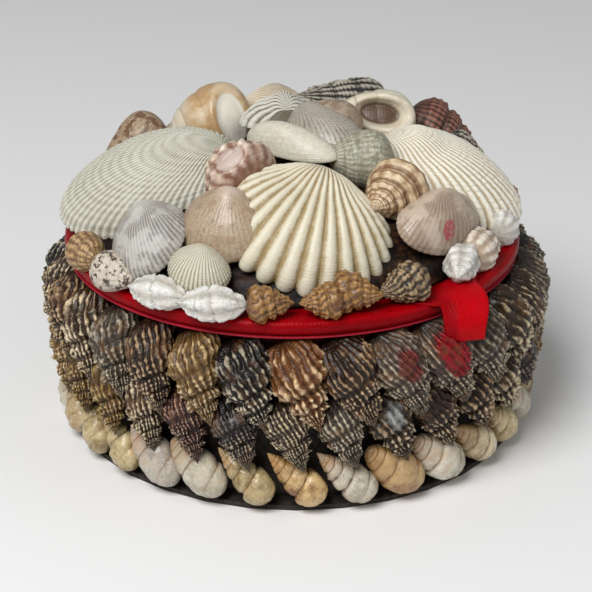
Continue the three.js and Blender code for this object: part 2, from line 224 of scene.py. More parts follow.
def coilTree():
    # a coiled shell along Y with its spire at +Y, from a swelling cone and one spiral seam
    tree, read = newTree("coiledShell", {
        "Columns": 96, "Rings": 40, "Width": 0.013, "Depth": 0.01, "Length": 0.024,
        "Tip": 0.9, "Belly": 3.0, "End": 0.5, "Growth": 1.65, "Phase": 0.2, "Seam": 0.12,
        "Shoulder": 0.0, "Ribs": 16.0, "Rib Depth": 0.0006, "Rib Slant": 0.3, "Rib Sharp": 0.8,
        "Wander": 0.0, "Curl": 0.0, "Cords": 6.0, "Cord Depth": 0.0001, "Knobs": 0.0004,
        "Spire Side": 0.0, "Body From": 0.45,
        "Mouth X": 0.0, "Mouth Y": 0.0, "Mouth Wide": 0.4, "Mouth Long": 0.4, "Mouth Turn": 0.0,
        "Mouth Depth": 0.0, "Lip": 0.0, "Wear": 0.0002, "Wear Scale": 500.0, "Seed": 0.0,
        "Finish": "Material"})
    grid, across, down = gridOf(tree, read)
    # points lie closer together on the outer side and near the two ends
    t = (down * (math.pi / 2)).sin() * 0.45 + (0.5 - (down * math.pi).cos() * 0.5) * 0.55
    swing = across * (2 * math.pi)
    angle = math.pi - (swing + swing.sin() * 0.45)
    around = angle / (-2 * math.pi)
    tip, belly, end = read["Tip"], read["Belly"], read["End"]
    fullest = tip / (tip + belly * end)
    peak = fullest ** (tip / belly) * (1 - fullest) ** end
    radius = t ** tip * (1 - t ** belly).most(0.0) ** end / peak

    # where each point is between two turns of the seam
    turns = t.most(0.002).math("LOGARITHM", read["Growth"]) - around + read["Phase"]
    whorl = turns.part()
    bulging = (whorl * (1 - whorl) * 4) ** 0.7
    onSpire = 1 - t.rise(read["Body From"], read["Body From"] + 0.25)
    pinch = (1 - bulging) ** 2 * read["Seam"] * (onSpire * 0.85 + 0.15)
    shoulder = (1 - whorl) ** 3 * read["Shoulder"] * onSpire
    radius = radius * (1 - pinch + shoulder)

    # growth was uneven, so ribs wander and their height changes
    spot = vectorOf(tree, angle.sin(), angle.cos(), t * 4 + read["Seed"] * 7)
    wander = (noiseOf(tree, spot, 1.6, 2.0) - 0.5) * read["Wander"]
    height = noiseOf(tree, spot, 3.4, 2.0).rise(0.3, 0.7) * 0.9 + 0.4
    ribTurn = around * read["Ribs"] + t * read["Rib Slant"] + read["Seed"] + wander
    rib = ribTurn.wave() ** read["Rib Sharp"]
    cordTurn = turns * read["Cords"] + wander * 0.9
    cord = cordTurn.wave()
    nearTip = t.rise(0.02, 0.2)
    nearEnd = 1 - t.rise(0.86, 1.0)
    knob = rib * cord * (onSpire * 0.8 + 0.2)
    relief = (rib * read["Rib Depth"] * (1 - onSpire * 0.45) + cord * read["Cord Depth"]
              + knob * read["Knobs"])
    relief = relief * height * nearTip * (nearEnd * 0.85 + 0.15) * (bulging * 0.7 + 0.3)

    x = (radius * angle.sin() * 0.5 + ((1 - t) ** 2 - 0.3) * read["Spire Side"]) * read["Width"]
    z = (radius * angle.cos() * 0.5 - t.rise(0.55, 1.0) * read["Curl"]) * read["Depth"]
    y = (0.5 - t) * read["Length"]

    # an opening is pushed in where the shell shows its mouth, with a lip round it
    away = angle - read["Mouth Turn"]
    mx = (radius * away.sin() - read["Mouth X"]) / read["Mouth Wide"]
    my = (y / read["Length"] * 2 - read["Mouth Y"]) / read["Mouth Long"]
    off = (mx * mx + my * my) ** 0.5
    facing = away.cos().rise(-0.1, 0.25)
    mouth = (1 - off.rise(0.55, 1.0)) * facing
    lip = (1 - ((off - 1.08) / 0.22).math("ABSOLUTE").least(1.0)) * facing
    hasMouth = read["Mouth Depth"].rise(0.0, 0.0001)
    x = x - mouth * read["Mouth Depth"] * read["Mouth Turn"].sin()
    z = z - mouth * read["Mouth Depth"] * read["Mouth Turn"].cos()
    relief = relief * (1 - hasMouth * mouth) + lip * read["Lip"]

    # where a dab of paint lies on some shells, and a painted grey highlight on others, on the belly of
    # the side that is seen
    facingOut = ((angle + 0.2).cos() * 0.5 + 0.5) ** 10
    atBelly = 1 - ((t - 0.66) * 2.6).math("ABSOLUTE").least(1.0)

    shape = grid
    for name, value in {
        "relief": relief, "growth": t, "turn": turns, "ribTurn": ribTurn, "cordTurn": cordTurn,
        "ribbed": nearEnd, "spire": onSpire, "mouth": mouth * hasMouth, "front": facingOut * atBelly,
    }.items():
        shape = stored(tree, shape, name, value)
    placed = geometryNode(tree, "GeometryNodeSetPosition", shape, Position=vectorOf(tree, x, y, z))
    close(tree, placed.outputs[0], read)
    return tree


def valveTree():
    # one valve in XY with its beak at +Y and its back up, and its ribs fan from the beak
    tree, read = newTree("fanShell", {
        "Columns": 160, "Rings": 44, "Width": 0.04, "Length": 0.03, "Bulge": 0.011,
        "Ribs": 16.0, "Rib Depth": 0.0008, "Rib Round": 0.6, "Scallop": 0.0006, "Beak": 0.9,
        "Lines": 9.0, "Line Depth": 0.0001, "Beads": 0.0, "Bead Rows": 0.0, "Umbo": 0.3,
        "Wear": 0.0002, "Wear Scale": 400.0, "Seed": 0.0, "Finish": "Material"})
    grid, across, down = gridOf(tree, read)
    angle = (across - 0.5) * (-2 * math.pi)
    share = (down * (math.pi / 2)).sin()
    a, b = read["Width"] * 0.5, read["Length"] * 0.5
    beak = b * read["Beak"]
    inFan = 1 - angle.math("ABSOLUTE").rise(2.2, 2.9)
    ribTurn = angle * read["Ribs"] / (2 * math.pi)
    rib = ribTurn.wave() ** read["Rib Round"]
    outer = share.rise(0.03, 0.4)
    edge = (rib - 0.5) * read["Scallop"] * share.rise(0.8, 1.0) * inFan
    x0, y0 = share * a * angle.sin(), beak - share * (b * angle.cos() + beak)
    x = share * (a + edge) * angle.sin()
    y = beak - share * ((b + edge) * angle.cos() + beak)
    inside = (1 - (x0 / a) ** 2 - (y0 / b) ** 2).most(0.0)
    umbo = 1 - ((x0 / a * 2.0) ** 2 + ((y0 - beak * 0.7) / b * 2.0) ** 2).least(1.0)
    z = read["Bulge"] * (inside ** 0.6 * (y0 / b * 0.25 + 1) + umbo ** 2 * read["Umbo"])
    line = (share ** 1.4 * read["Lines"] + read["Seed"]).wave() ** 3
    cordTurn = share ** 1.2 * read["Bead Rows"]
    bead = cordTurn.wave() * rib
    relief = (rib * read["Rib Depth"] * (share * 0.6 + 0.4) + bead * read["Beads"]
              - line * read["Line Depth"]) * outer * inFan

    # a stain can lie near the free edge, a little to one side
    stainX, stainY = (x0 / a + 0.28) / 0.16, (y0 / b + 0.50) / 0.30

    shape = grid
    for name, value in {
        "relief": relief, "growth": share, "turn": share * 0.0 + 0.5, "ribTurn": ribTurn,
        "cordTurn": cordTurn, "ribbed": inFan, "spire": 1 - share,
        "stain": 1 - (stainX ** 2 + stainY ** 2).least(1.0),
    }.items():
        shape = stored(tree, shape, name, value)
    placed = geometryNode(tree, "GeometryNodeSetPosition", shape, Position=vectorOf(tree, x, y, z))
    close(tree, placed.outputs[0], read)
    return tree


def rowTree():
    # a ring of shells, one for each vertex that comes in, each between its foot and its head
    tree, read = newTree("shellRing", {
        "Foot Radius": 0.06, "Foot Height": 0.046, "Head Radius": 0.062, "Head Height": 0.024,
        "Turn": 0.08, "Start": 0.3, "Count": 30, "Lowered": 0.0, "Hinge Reach": 0.036,
        "Loose": 0.02, "Seed": 0, "Wall Radius": 0.05505, "Top": 0.0463, "Shells": "Collection",
        "Finish": "Material"})
    index = Field(tree, tree.nodes.new("GeometryNodeInputIndex").outputs[0])

    def chance(low, high, place):
        node = tree.nodes.new("FunctionNodeRandomValue")
        node.data_type = "FLOAT"
        floats = [s for s in node.inputs if s.type == "VALUE"]
        floats[0].default_value, floats[1].default_value = low, high
        feed(tree, node.inputs["ID"], index)
        feed(tree, node.inputs["Seed"], read["Seed"] + place)
        return Field(tree, [s for s in node.outputs if s.type == "VALUE"][0])

    angle = (index + read["Start"] + chance(-1.0, 1.0, 1) * read["Loose"]) / read["Count"] \
        * (2 * math.pi) - math.pi / 2
    turn = read["Turn"] * (1 + chance(-2.0, 2.0, 2) * read["Loose"]) * named(tree, "lean")
    fromHinge = read["Foot Radius"] * angle.sin().math("ARCCOSINE")
    lowered = read["Lowered"] * fromHinge.math("LESS_THAN", read["Hinge Reach"])

    def ringPoint(radius, around, height):
        return vectorOf(tree, radius * around.cos(), radius * around.sin(), height)

    foot = ringPoint(read["Foot Radius"], angle - turn, read["Foot Height"] - lowered)
    head = ringPoint(read["Head Radius"], angle + turn, read["Head Height"])
    between = tree.nodes.new("ShaderNodeMix")
    between.data_type = "VECTOR"
    vectors = [s for s in between.inputs if s.type == "VECTOR"]
    feed(tree, vectors[1], foot)
    feed(tree, vectors[2], head)
    between.inputs[0].default_value = 0.5
    middle = [s for s in between.outputs if s.type == "VECTOR"][0]
    along = tree.nodes.new("ShaderNodeVectorMath")
    along.operation = "SUBTRACT"
    feed(tree, along.inputs[0], head)
    feed(tree, along.inputs[1], foot)
    length = tree.nodes.new("ShaderNodeVectorMath")
    length.operation = "LENGTH"
    feed(tree, length.inputs[0], along.outputs[0])
    stand = tree.nodes.new("FunctionNodeAxesToRotation")
    stand.primary_axis, stand.secondary_axis = "Y", "Z"
    feed(tree, stand.inputs[0], along.outputs[0])
    feed(tree, stand.inputs[1], ringPoint(1.0 + index * 0, angle, 0.0))
    roll = tree.nodes.new("FunctionNodeRotateRotation")
    roll.rotation_space = "LOCAL"
    feed(tree, roll.inputs[0], stand.outputs[0])
    feed(tree, roll.inputs[1], vectorOf(tree, 0.0, chance(-1.0, 1.0, 3) * read["Loose"] * 8, 0.0))
    size = Field(tree, length.outputs["Value"]) * (1 + chance(-1.0, 1.0, 4) * read["Loose"])

    spots = geometryNode(tree, "GeometryNodeSetPosition", read["Geometry"], Position=middle)
    kinds = geometryNode(tree, "GeometryNodeCollectionInfo", read["Shells"])
    kinds.inputs["Separate Children"].default_value = True
    kinds.inputs["Reset Children"].default_value = True
    ring = geometryNode(tree, "GeometryNodeInstanceOnPoints", spots.outputs[0],
                        Instance=kinds.outputs[0], Rotation=roll.outputs[0], Scale=size)
    ring.inputs["Pick Instance"].default_value = True
    feed(tree, ring.inputs["Instance Index"], named(tree, "kind"))
    real = geometryNode(tree, "GeometryNodeRealizeInstances", ring.outputs[0])

    # backs lie flat against the wall, and no shell reaches the lid
    place = tree.nodes.new("GeometryNodeInputPosition")
    parts = tree.nodes.new("ShaderNodeSeparateXYZ")
    feed(tree, parts.inputs[0], place.outputs[0])
    x, y, z = (Field(tree, s) for s in parts.outputs)
    reach = ((x * x + y * y) ** 0.5).most(0.001)
    out = reach.most(read["Wall Radius"]) / reach
    clear = geometryNode(tree, "GeometryNodeSetPosition", real.outputs[0],
                         Position=vectorOf(tree, x * out, y * out, z.least(read["Top"])))
    painted = geometryNode(tree, "GeometryNodeSetMaterial", clear.outputs[0], Material=read["Finish"])
    end = tree.nodes.new("NodeGroupOutput")
    feed(tree, end.inputs[0], painted.outputs[0])
    return tree


def grown(name, tree, values, seedMesh=None, wall=0.0):
    # evaluates a tree once and keeps the result as a plain mesh
    start = bpy.data.objects.new(name + "Start", seedMesh or bpy.data.meshes.new(name + "Start"))
    bpy.context.scene.collection.objects.link(start)
    modifier = start.modifiers.new("shape", "NODES")
    modifier.node_group = tree
    for socket in tree.interface.items_tree:
        if socket.in_out == "INPUT" and socket.name in values:
            modifier[socket.identifier] = values[socket.name]
    if wall:
        thick = start.modifiers.new("wall", "SOLIDIFY")
        thick.thickness, thick.offset = wall, -1
    graph = bpy.context.evaluated_depsgraph_get()
    mesh = bpy.data.meshes.new_from_object(
        start.evaluated_get(graph), preserve_all_data_layers=True, depsgraph=graph)
    start.modifiers.clear()
    bpy.data.objects.remove(start)
    mesh.name = name
    return mesh


def piece(name, mesh, body, slot, *nodes):
    thing = bpy.data.objects.new(name, mesh)
    bpy.context.scene.collection.objects.link(thing)
    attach(thing, body)
    if nodes:
        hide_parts(*nodes)
    return thing


def startFinish(name):
    finish = bpy.data.materials.new(name)
    finish.use_nodes = True
    tree = finish.node_tree
    skin = tree.nodes["Principled BSDF"]
    where = tree.nodes.new("ShaderNodeTexCoord").outputs["Object"]
    return finish, tree, skin, where


def mixed(tree, low, high, share):
    node = tree.nodes.new("ShaderNodeMix")
    node.data_type = "RGBA"
    feed(tree, node.inputs[0], share)
    colours = [s for s in node.inputs if s.type == "RGBA"]
    for place, value in zip(colours, (low, high)):
        feed(tree, place, (*value, 1.0) if isinstance(value, tuple) and len(value) == 3 else value)
    return Field(tree, [s for s in node.outputs if s.type == "RGBA"][0])


def readFrom(tree, name, output="Fac"):
    node = tree.nodes.new("ShaderNodeAttribute")
    node.attribute_name = name
    return Field(tree, node.outputs[output])


def crestFrom(tree, sharp=0.8):
    # ribs, the knobs on them and the seams between whorls, finer than the mesh carries them
    rib = readFrom(tree, "ribTurn").wave() ** sharp
    cord = readFrom(tree, "cordTurn").wave()
    whorl = readFrom(tree, "turn").part()
    bulging = (whorl * (1 - whorl) * 4) ** 0.7
    crest = (rib * 0.6 + cord * 0.15 + rib * cord * (readFrom(tree, "spire") * 0.8 + 0.2) * 0.4) \
        * (bulging * 0.6 + 0.4) * readFrom(tree, "ribbed")
    return crest, (1 - bulging) ** 2 * (readFrom(tree, "spire") * 0.6 + 0.4), whorl


def bumped(tree, skin, height, strength, distance):
    bump = tree.nodes.new("ShaderNodeBump")
    bump.inputs["Strength"].default_value = strength
    bump.inputs["Distance"].default_value = distance
    feed(tree, bump.inputs["Height"], height)
    feed(tree, skin.inputs["Normal"], bump.outputs[0])


def shellFinish(name, deep, high, mottle=(0.3, 0.2, 0.12), mottleShare=0.0, mottleSize=260.0,
                tip=None, inside=(0.75, 0.62, 0.45), bands=0.0, bandColour=(0.3, 0.16, 0.07),
                bandShare=0.0, dirt=0.35, gloss=0.36, ringed=0.0, coat=0.08, ribPaint=1.0,
                stain=None, mouthFrom=(0.15, 0.6)):
    # deep and high colours follow the ribs, and mottle, bands, rings and dirt lie over them
    finish, tree, skin, where = startFinish(name)
    growth = readFrom(tree, "growth")
    crest, seam, whorl = crestFrom(tree)
    cloud = noiseOf(tree, where, mottleSize, 3.0, 0.6)
    speck = noiseOf(tree, where, 1500.0, 3.0, 0.65)
    lift = crest * ribPaint + (1 - ribPaint) * 0.5 + (speck - 0.5) * 0.5 + (cloud - 0.5) * 0.6
    colour = mixed(tree, deep, high, lift.rise(0.12, 0.72))
    if mottleShare:
        colour = mixed(tree, colour, mottle, cloud.rise(0.5, 0.6) * mottleShare)
    if bandShare:
        band = (whorl * bands + (cloud - 0.5) * 0.25).wave().rise(0.45, 0.8)
        colour = mixed(tree, colour, bandColour, band * bandShare)
    if ringed:
        ring = (growth * 23.0 + (cloud - 0.5) * 1.2).wave() ** 4
        colour = mixed(tree, colour, deep, ring * ringed * cloud.rise(0.42, 0.6))
    if tip:
        colour = mixed(tree, tip, colour, growth.rise(0.08, 0.4))
    # brown glue and dust lie in the low places, and painted shade darkens those grooves and the seams
    # between whorls
    low = (1 - crest.rise(0.0, 0.25)) * ribPaint * noiseOf(tree, where, 420.0, 2.0).rise(0.45, 0.7)
    low = low.most(seam.rise(0.15, 0.8))
    colour = mixed(tree, colour, (0.13, 0.075, 0.035), low * dirt)
    if stain:
        spot = readFrom(tree, "stain").rise(0.1, 0.5) * (speck + cloud - 0.5).rise(0.2, 0.45)
        colour = mixed(tree, colour, stain, spot * 0.85)
    # the opening takes the inside colour towards its depth; the ivory snail's dark inside is painted
    # shade
    colour = mixed(tree, colour, inside, readFrom(tree, "mouth").rise(*mouthFrom))
    feed(tree, skin.inputs["Base Color"], colour)
    feed(tree, skin.inputs["Roughness"], speck * 0.25 + gloss)
    skin.inputs["Coat Weight"].default_value = coat
    skin.inputs["Coat Roughness"].default_value = 0.2
    skin.inputs["Subsurface Weight"].default_value = 0.08
    skin.inputs["Subsurface Scale"].default_value = 0.002
    skin.inputs["Subsurface Radius"].default_value = (1.0, 0.75, 0.5)
    growthLines = (growth * 60.0 + cloud).wave() * 0.25
    bumped(tree, skin, speck + growthLines + crest * ribPaint - seam, 0.4, 0.0003)
    return finish


def ringFinish(name, speckShare, ribPaint=1.0, wornShare=1.0, grooveColourAndShade=(0.010, 0.006, 0.004),
               gloss=0.3, paint=(0.3, 0.95), shine=0.25, coat=0.0,
               filmColour=(0.10, 0.045, 0.015), filmShare=0.5, tipColour=None):
    # each shell in a row brings its own colours with it
    finish, tree, skin, where = startFinish(name)
    growth = readFrom(tree, "growth")
    crest, seam, _ = crestFrom(tree, 1.2)
    deep, high = readFrom(tree, "deepTint", "Color"), readFrom(tree, "highTint", "Color")
    speck = noiseOf(tree, where, 900.0, 4.0, 0.7)
    cloud = noiseOf(tree, where, 230.0, 3.0, 0.6)
    broad = noiseOf(tree, where, 90.0, 2.0, 0.5)
    lift = crest * ribPaint + (1 - ribPaint) * 0.4 + (speck - 0.5) * speckShare \
        + (cloud - 0.5) * 0.9 + (broad - 0.5) * 0.6
    colour = mixed(tree, deep, high, lift.rise(*paint))
    # the spire's knobs are worn pale
    worn = crest.rise(0.5, 0.95) * readFrom(tree, "spire") * (cloud.rise(0.42, 0.58) * 0.8 + 0.1)
    colour = mixed(tree, colour, (0.70, 0.60, 0.44), worn * wornShare)
    # a patch on the outward belly: red patches are dabs of paint, and the grey patches are a painted
    # highlight
    strength = readFrom(tree, "patchTint", "Alpha")
    patch = readFrom(tree, "front") * strength + (speck - 0.5) * 0.5 + (cloud - 0.5) * 0.8
    colour = mixed(tree, colour, readFrom(tree, "patchTint", "Color"),
                   patch.rise(0.35, 0.6) * strength.least(1.0))
    # painted shade, with some of the grooves' own colour: grooves and the seams between whorls are
    # darkened, near black on the dark shells and brown on the pale ones
    low = ((1 - crest.rise(0.0, 0.2)) * ribPaint).most(seam.rise(0.15, 0.8))
    colour = mixed(tree, colour, grooveColourAndShade, low * 0.7)
    if tipColour:
        nearSpire = (1 - growth.rise(0.1, 0.5)) * cloud.rise(0.3, 0.6) * 0.8
        colour = mixed(tree, colour, tipColour, nearSpire)
    # a warm brown film lies on some of each shell
    colour = mixed(tree, colour, filmColour, cloud.rise(0.5, 0.68) * filmShare)
    feed(tree, skin.inputs["Base Color"], colour)
    feed(tree, skin.inputs["Roughness"], cloud * 0.3 + gloss)
    skin.inputs["Specular IOR Level"].default_value = shine
    skin.inputs["Coat Weight"].default_value = coat
    skin.inputs["Coat Roughness"].default_value = 0.15
    growthLines = (growth * 45.0 + cloud).wave() * 0.3
    bumped(tree, skin, speck + growthLines + crest * (ribPaint * 1.5) - seam * 2.0, 0.6, 0.0004)
    return finish


def clothFinish(name, base, lit, threads, sheen, worn=None, rough=0.75, shine=0.2, soiled=None):
    finish, tree, skin, where = startFinish(name)
    parts = tree.nodes.new("ShaderNodeSeparateXYZ")
    feed(tree, parts.inputs[0], where)
    x, y, z = (Field(tree, s) for s in parts.outputs)
    nap = noiseOf(tree, where, threads, 4.0, 0.7)
    cloud = noiseOf(tree, where, 60.0, 3.0, 0.6)
    weave = ((x + z) * threads).wave() * ((y - z) * threads).wave()
    colour = mixed(tree, base, lit, (nap * 0.6 + cloud * 0.7 - 0.2).rise(0.2, 0.8))
    # the worn colour follows the edge attribute: pale wear on the velvets, painted shade on the satin
    # and the rolled cloth
    if worn:
        colour = mixed(tree, colour, worn, readFrom(tree, "edge") * (nap * 0.8 + 0.2))
    if soiled:
        # painted shade: the lid's shadow is painted near black outside a radius, and fades out between
        # two heights
        radius, low, high = soiled
        out = ((x * x + y * y) ** 0.5).rise(radius, radius + 0.6 * mm)
        below = 1 - z.rise(low, high)
        colour = mixed(tree, colour, (0.012, 0.004, 0.003), out * below * 0.95)
    feed(tree, skin.inputs["Base Color"], colour)
    skin.inputs["Roughness"].default_value = rough
    skin.inputs["Specular IOR Level"].default_value = shine
    skin.inputs["Sheen Weight"].default_value = sheen
    skin.inputs["Sheen Roughness"].default_value = 0.35
    skin.inputs["Sheen Tint"].default_value = (1.0, 0.25, 0.3, 1.0)
    bumped(tree, skin, nap * 0.7 + weave * 0.5, 0.4, 0.00025)
    return finish


def cardFinish(name):
    finish, tree, skin, where = startFinish(name)
    fibre = noiseOf(tree, where, 700.0, 5.0, 0.7)
    colour = mixed(tree, (0.012, 0.009, 0.008), (0.05, 0.036, 0.027), fibre.rise(0.35, 0.7))
    feed(tree, skin.inputs["Base Color"], colour)
    skin.inputs["Roughness"].default_value = 0.85
    bumped(tree, skin, fibre, 0.4, 0.0002)
    return finish


def glueAndShadeFinish(name):
    finish, tree, skin, where = startFinish(name)
    lump = noiseOf(tree, where, 180.0, 4.0, 0.6)
    grain = noiseOf(tree, where, 900.0, 3.0, 0.6)
    # painted shade: the glue is kept near black, with a little dark amber, for the shade between the
    # shells on the lid
    colour = mixed(tree, (0.006, 0.003, 0.002), (0.08, 0.032, 0.010),
                   (lump * 0.7 + grain * 0.3).rise(0.48, 0.7))
    feed(tree, skin.inputs["Base Color"], colour)
    feed(tree, skin.inputs["Roughness"], grain * 0.3 + 0.4)
    skin.inputs["Specular IOR Level"].default_value = 0.25
    bumped(tree, skin, lump + grain * 0.4, 0.6, 0.0006)
    return finish


print("finishes and trees")
coiled, fanned, ringed = coilTree(), valveTree(), rowTree()
cardLook = cardFinish("darkCard")
glueAndShadeLook = glueAndShadeFinish("amberGlue")

# base and lit are the two colours of the nap, and worn shows at folds and edges; on the satin and the
# rolled cloth worn is a dark red, painted shade
cloths = {
    "redVelvet": dict(base=(0.26, 0.0, 0.008), lit=(0.46, 0.001, 0.018), threads=1400.0,
                      sheen=0.2, worn=(0.66, 0.10, 0.14)),
    # painted shade: a darker copy of the red velvet for the drum's cloth, near black on its outer side
    # for the lid's shadow
    "shadedRedVelvet": dict(base=(0.13, 0.0, 0.004), lit=(0.26, 0.001, 0.010), threads=1400.0,
                            sheen=0.1, worn=(0.66, 0.10, 0.14),
                            soiled=(53.9 * mm, 43.2 * mm, 45.2 * mm)),
    # painted shade: the satin's worn colour is a dark red, for the shade on the pull tab's folded side
    # and root
    "redSatin": dict(base=(0.36, 0.0, 0.003), lit=(0.66, 0.0, 0.006), threads=1600.0, sheen=0.0,
                     worn=(0.13, 0.0, 0.002), rough=0.36, shine=0.1),
    # painted shade: the rolled cloth's worn colour is a dark red, for the shade on the lower side of
    # the lid's rolled edge
    "rolledRedCloth": dict(base=(0.20, 0.0, 0.002), lit=(0.42, 0.0, 0.004), threads=1500.0,
                           sheen=0.0, worn=(0.10, 0.0, 0.002), rough=0.3, shine=0.08),
}
velvet, shadedVelvet, satin, rolledCloth = (clothFinish(name, **look) for name, look in cloths.items())

# the card drum keeps its solids
for node, look in {"base_board": cardLook, "drum_wall": cardLook}.items():
    solid = frame["nodes"][node]
    solid.data.materials.clear()
    solid.data.materials.append(look)


def turned(name, profile, finish, segments=144, ripple=None, edge=None, closed=True, shift=0.0):
    # a cloth or putty piece, from a profile that is turned round the middle
    points, faces = [], []
    for j in range(segments):
        a = 2 * math.pi * j / segments
        for i, (radius, height) in enumerate(profile):
            dr, dz = ripple(a, i) if ripple else (0.0, 0.0)
            r = radius + dr
            points.append((shift + r * math.cos(a), r * math.sin(a), height + dz))
    n = len(profile)
    for j in range(segments):
        k = (j + 1) % segments
        for i in range(n if closed else n - 1):
            m = (i + 1) % n
            faces.append((j * n + i, k * n + i, k * n + m, j * n + m))
    mesh = bpy.data.meshes.new(name)
    mesh.from_pydata(points, [], faces)
    if edge:
        worn = [edge(i % n, math.atan2(p[1], p[0])) for i, p in enumerate(points)]
        mesh.attributes.new("edge", "FLOAT", "POINT").data.foreach_set("value", worn)
    mesh.materials.append(finish)
    mesh.shade_smooth()
    tidy(mesh)
    return mesh


def tidy(mesh):
    work = bmesh.new()
    work.from_mesh(mesh)
    bmesh.ops.remove_doubles(work, verts=work.verts, dist=2e-6)
    bmesh.ops.dissolve_degenerate(work, edges=work.edges, dist=1e-7)
    bmesh.ops.recalc_face_normals(work, faces=work.faces)
    work.to_mesh(mesh)
    work.free()


def arc(middle, radius, start, end, steps):
    angles = [math.radians(start + (end - start) * i / steps) for i in range(steps + 1)]
    return [(middle[0] + radius * math.cos(a), middle[1] + radius * math.sin(a)) for a in angles]


def clamped(value):
    return min(1.0, max(0.0, value))


print("cloth of the drum")
drum = {
    "innerRadius": 51.3 * mm,
    "outerRadius": 54.9 * mm,
    "rim": 46.4 * mm,
    "foot": 1.6 * mm,
    "hem": 37.4 * mm,
    "cloth": 0.6 * mm,
    "floorRadius": 51.0 * mm,
    "wrinkle": 0.12 * mm,
    "wornFrom": 15,           # the profile's point on top of the rim, where the pile is worn
    "wornSteps": 3,
}


def rimCloth():
    inner, outer, rim, cloth = drum["innerRadius"], drum["outerRadius"], drum["rim"], drum["cloth"]
    middle, roll = (inner + outer) / 2, (outer - inner) / 2
    down = [drum["foot"] + (rim - roll - drum["foot"]) * i / 10 for i in range(11)]
    skin = [(inner, h) for h in down] + arc((middle, rim - roll), roll, 180, 0, 10)[1:]
    skin += [(outer, drum["hem"])]
    under = [(outer - cloth, drum["hem"]), (outer - cloth, rim - roll)]
    under += arc((middle, rim - roll), roll - cloth, 0, 180, 8)[1:]
    under += [(inner + cloth, drum["foot"])]

    def ripple(a, i):
        size = drum["wrinkle"] * (math.sin(31 * a + i) + 0.7 * math.sin(53 * a - 2 * i)) * 0.5
        return size * 0.6, -abs(size) * 0.4

    def edge(i, a):
        off = abs(i - drum["wornFrom"]) / drum["wornSteps"]
        return max(0.0, 1 - off) * (0.8 + 0.2 * math.sin(13 * a))

    mesh = turned("rimCloth", skin + under, shadedVelvet, 180, ripple, edge)
    cut = piece("rimCloth", mesh, "box", "red_cloth", "rim_cloth")
    tall = rim - drum["foot"] + math.pi * roll - roll + (rim - drum["hem"]) - roll
    2 * math.pi * middle
    return cut


def floorCloth():
    r, low, top = drum["floorRadius"], drum["foot"], drum["foot"] + drum["cloth"]
    profile = [(0.0, low), (r, low), (r, top)] + [(r * (1 - i / 12), top) for i in range(1, 13)]
    mesh = turned("floorCloth", profile, shadedVelvet, 96, closed=False,
                  edge=lambda i, a: 0.5 if i in (1, 2) else 0.0)
    cut = piece("floorCloth", mesh, "box", "red_cloth", "floor_cloth")
    2 * r
    2 * r
    math.pi * r * r
    return cut


rimCloth()
floorCloth()

print("lid board, lining and glue")
lid = {
    "radius": 58.6 * mm,
    "shift": -1.4 * mm,
    "bottom": 47.5 * mm,
    "top": 51.2 * mm,
    "roll": 1.5 * mm,
    "liningBottom": 46.7 * mm,
    "liningTop": 47.2 * mm,
    "liningRadius": 58.0 * mm,
    "rimMark": (51.3, 55.0),   # the drum's rim has pressed a faint ring between these radii, in mm
    "markDepth": 0.14 * mm,
    "bedRadius": 51.0 * mm,
    "bedHeight": 20.0 * mm,
    "lumpOut": 0.5 * mm,
    "lumpUp": 0.3 * mm,
}


def lidBoard():
    r, roll = lid["radius"], lid["roll"]
    low, top = lid["bottom"], lid["top"]
    profile = [(0.0, low), (r * 0.5, low)] + arc((r - roll, low + roll), roll, -90, 0, 5)
    profile += arc((r - roll, top - roll), roll, 0, 90, 6)
    profile += [(r - 4 * mm, top), (r - 8 * mm, top - 0.05 * mm), (r * 0.5, top), (0.0, top)]

    def ripple(a, i):
        if not 4 <= i <= 16:
            return 0.0, 0.0
        pull = 0.10 * math.sin(9 * a + 1) + 0.08 * math.sin(23 * a) + 0.05 * math.sin(61 * a + i)
        return -abs(pull) * mm, pull * 0.8 * mm * (1 if i > 9 else 0.3)

    # painted shade: profile points 5 to 9, the lower and outer side of the rolled edge, take the
    # cloth's dark worn colour
    mesh = turned("lidBoard", profile, rolledCloth, 240, ripple, closed=False, shift=lid["shift"],
                  edge=lambda i, a: 0.45 if 5 <= i <= 9 else 0.0)
    return piece("lidBoard", mesh, "lid", "red_cloth", "lid_board")


def lidLining():
    r, low, top = lid["liningRadius"], lid["liningBottom"], lid["liningTop"]
    # circles in the lining, closest together under the rim's mark
    rings = [0, 8, 16, 24, 32, 40, 46, 49, 50.5, 51.5, 52.6, 53.7, 54.8, 55.8, 56.6, 57.3, 58.0]
    last = len(rings) - 1
    profile = []
    for n, radius in enumerate(rings):
        press = lid["markDepth"] if lid["rimMark"][0] < radius < lid["rimMark"][1] else 0.0
        rounded = 0.1 * mm if n == last else 0.0
        profile.append((radius * mm * r / (rings[last] * mm), low + press + rounded))
    profile += [(r, top), (0.0, top)]

    def edge(i, a):
        # the pile is worn at the lining's edge, and a little in the mark
        if i >= last:
            return 0.55 if i == last else 0.0
        return {last - 1: 0.9, last - 2: 0.5, 10: 0.25, 9: 0.2}.get(i, 0.0) \
            * (0.7 + 0.3 * math.sin(7 * a))

    mesh = turned("lidLining", profile, velvet, 180, closed=False, edge=edge, shift=lid["shift"])
    cut = piece("lidLining", mesh, "lid", "red_cloth", "lid_lining")
    return cut


def bedRise(radius):
    return lid["bedHeight"] * max(0.0, 1 - (radius / lid["bedRadius"]) ** 2) ** 0.6


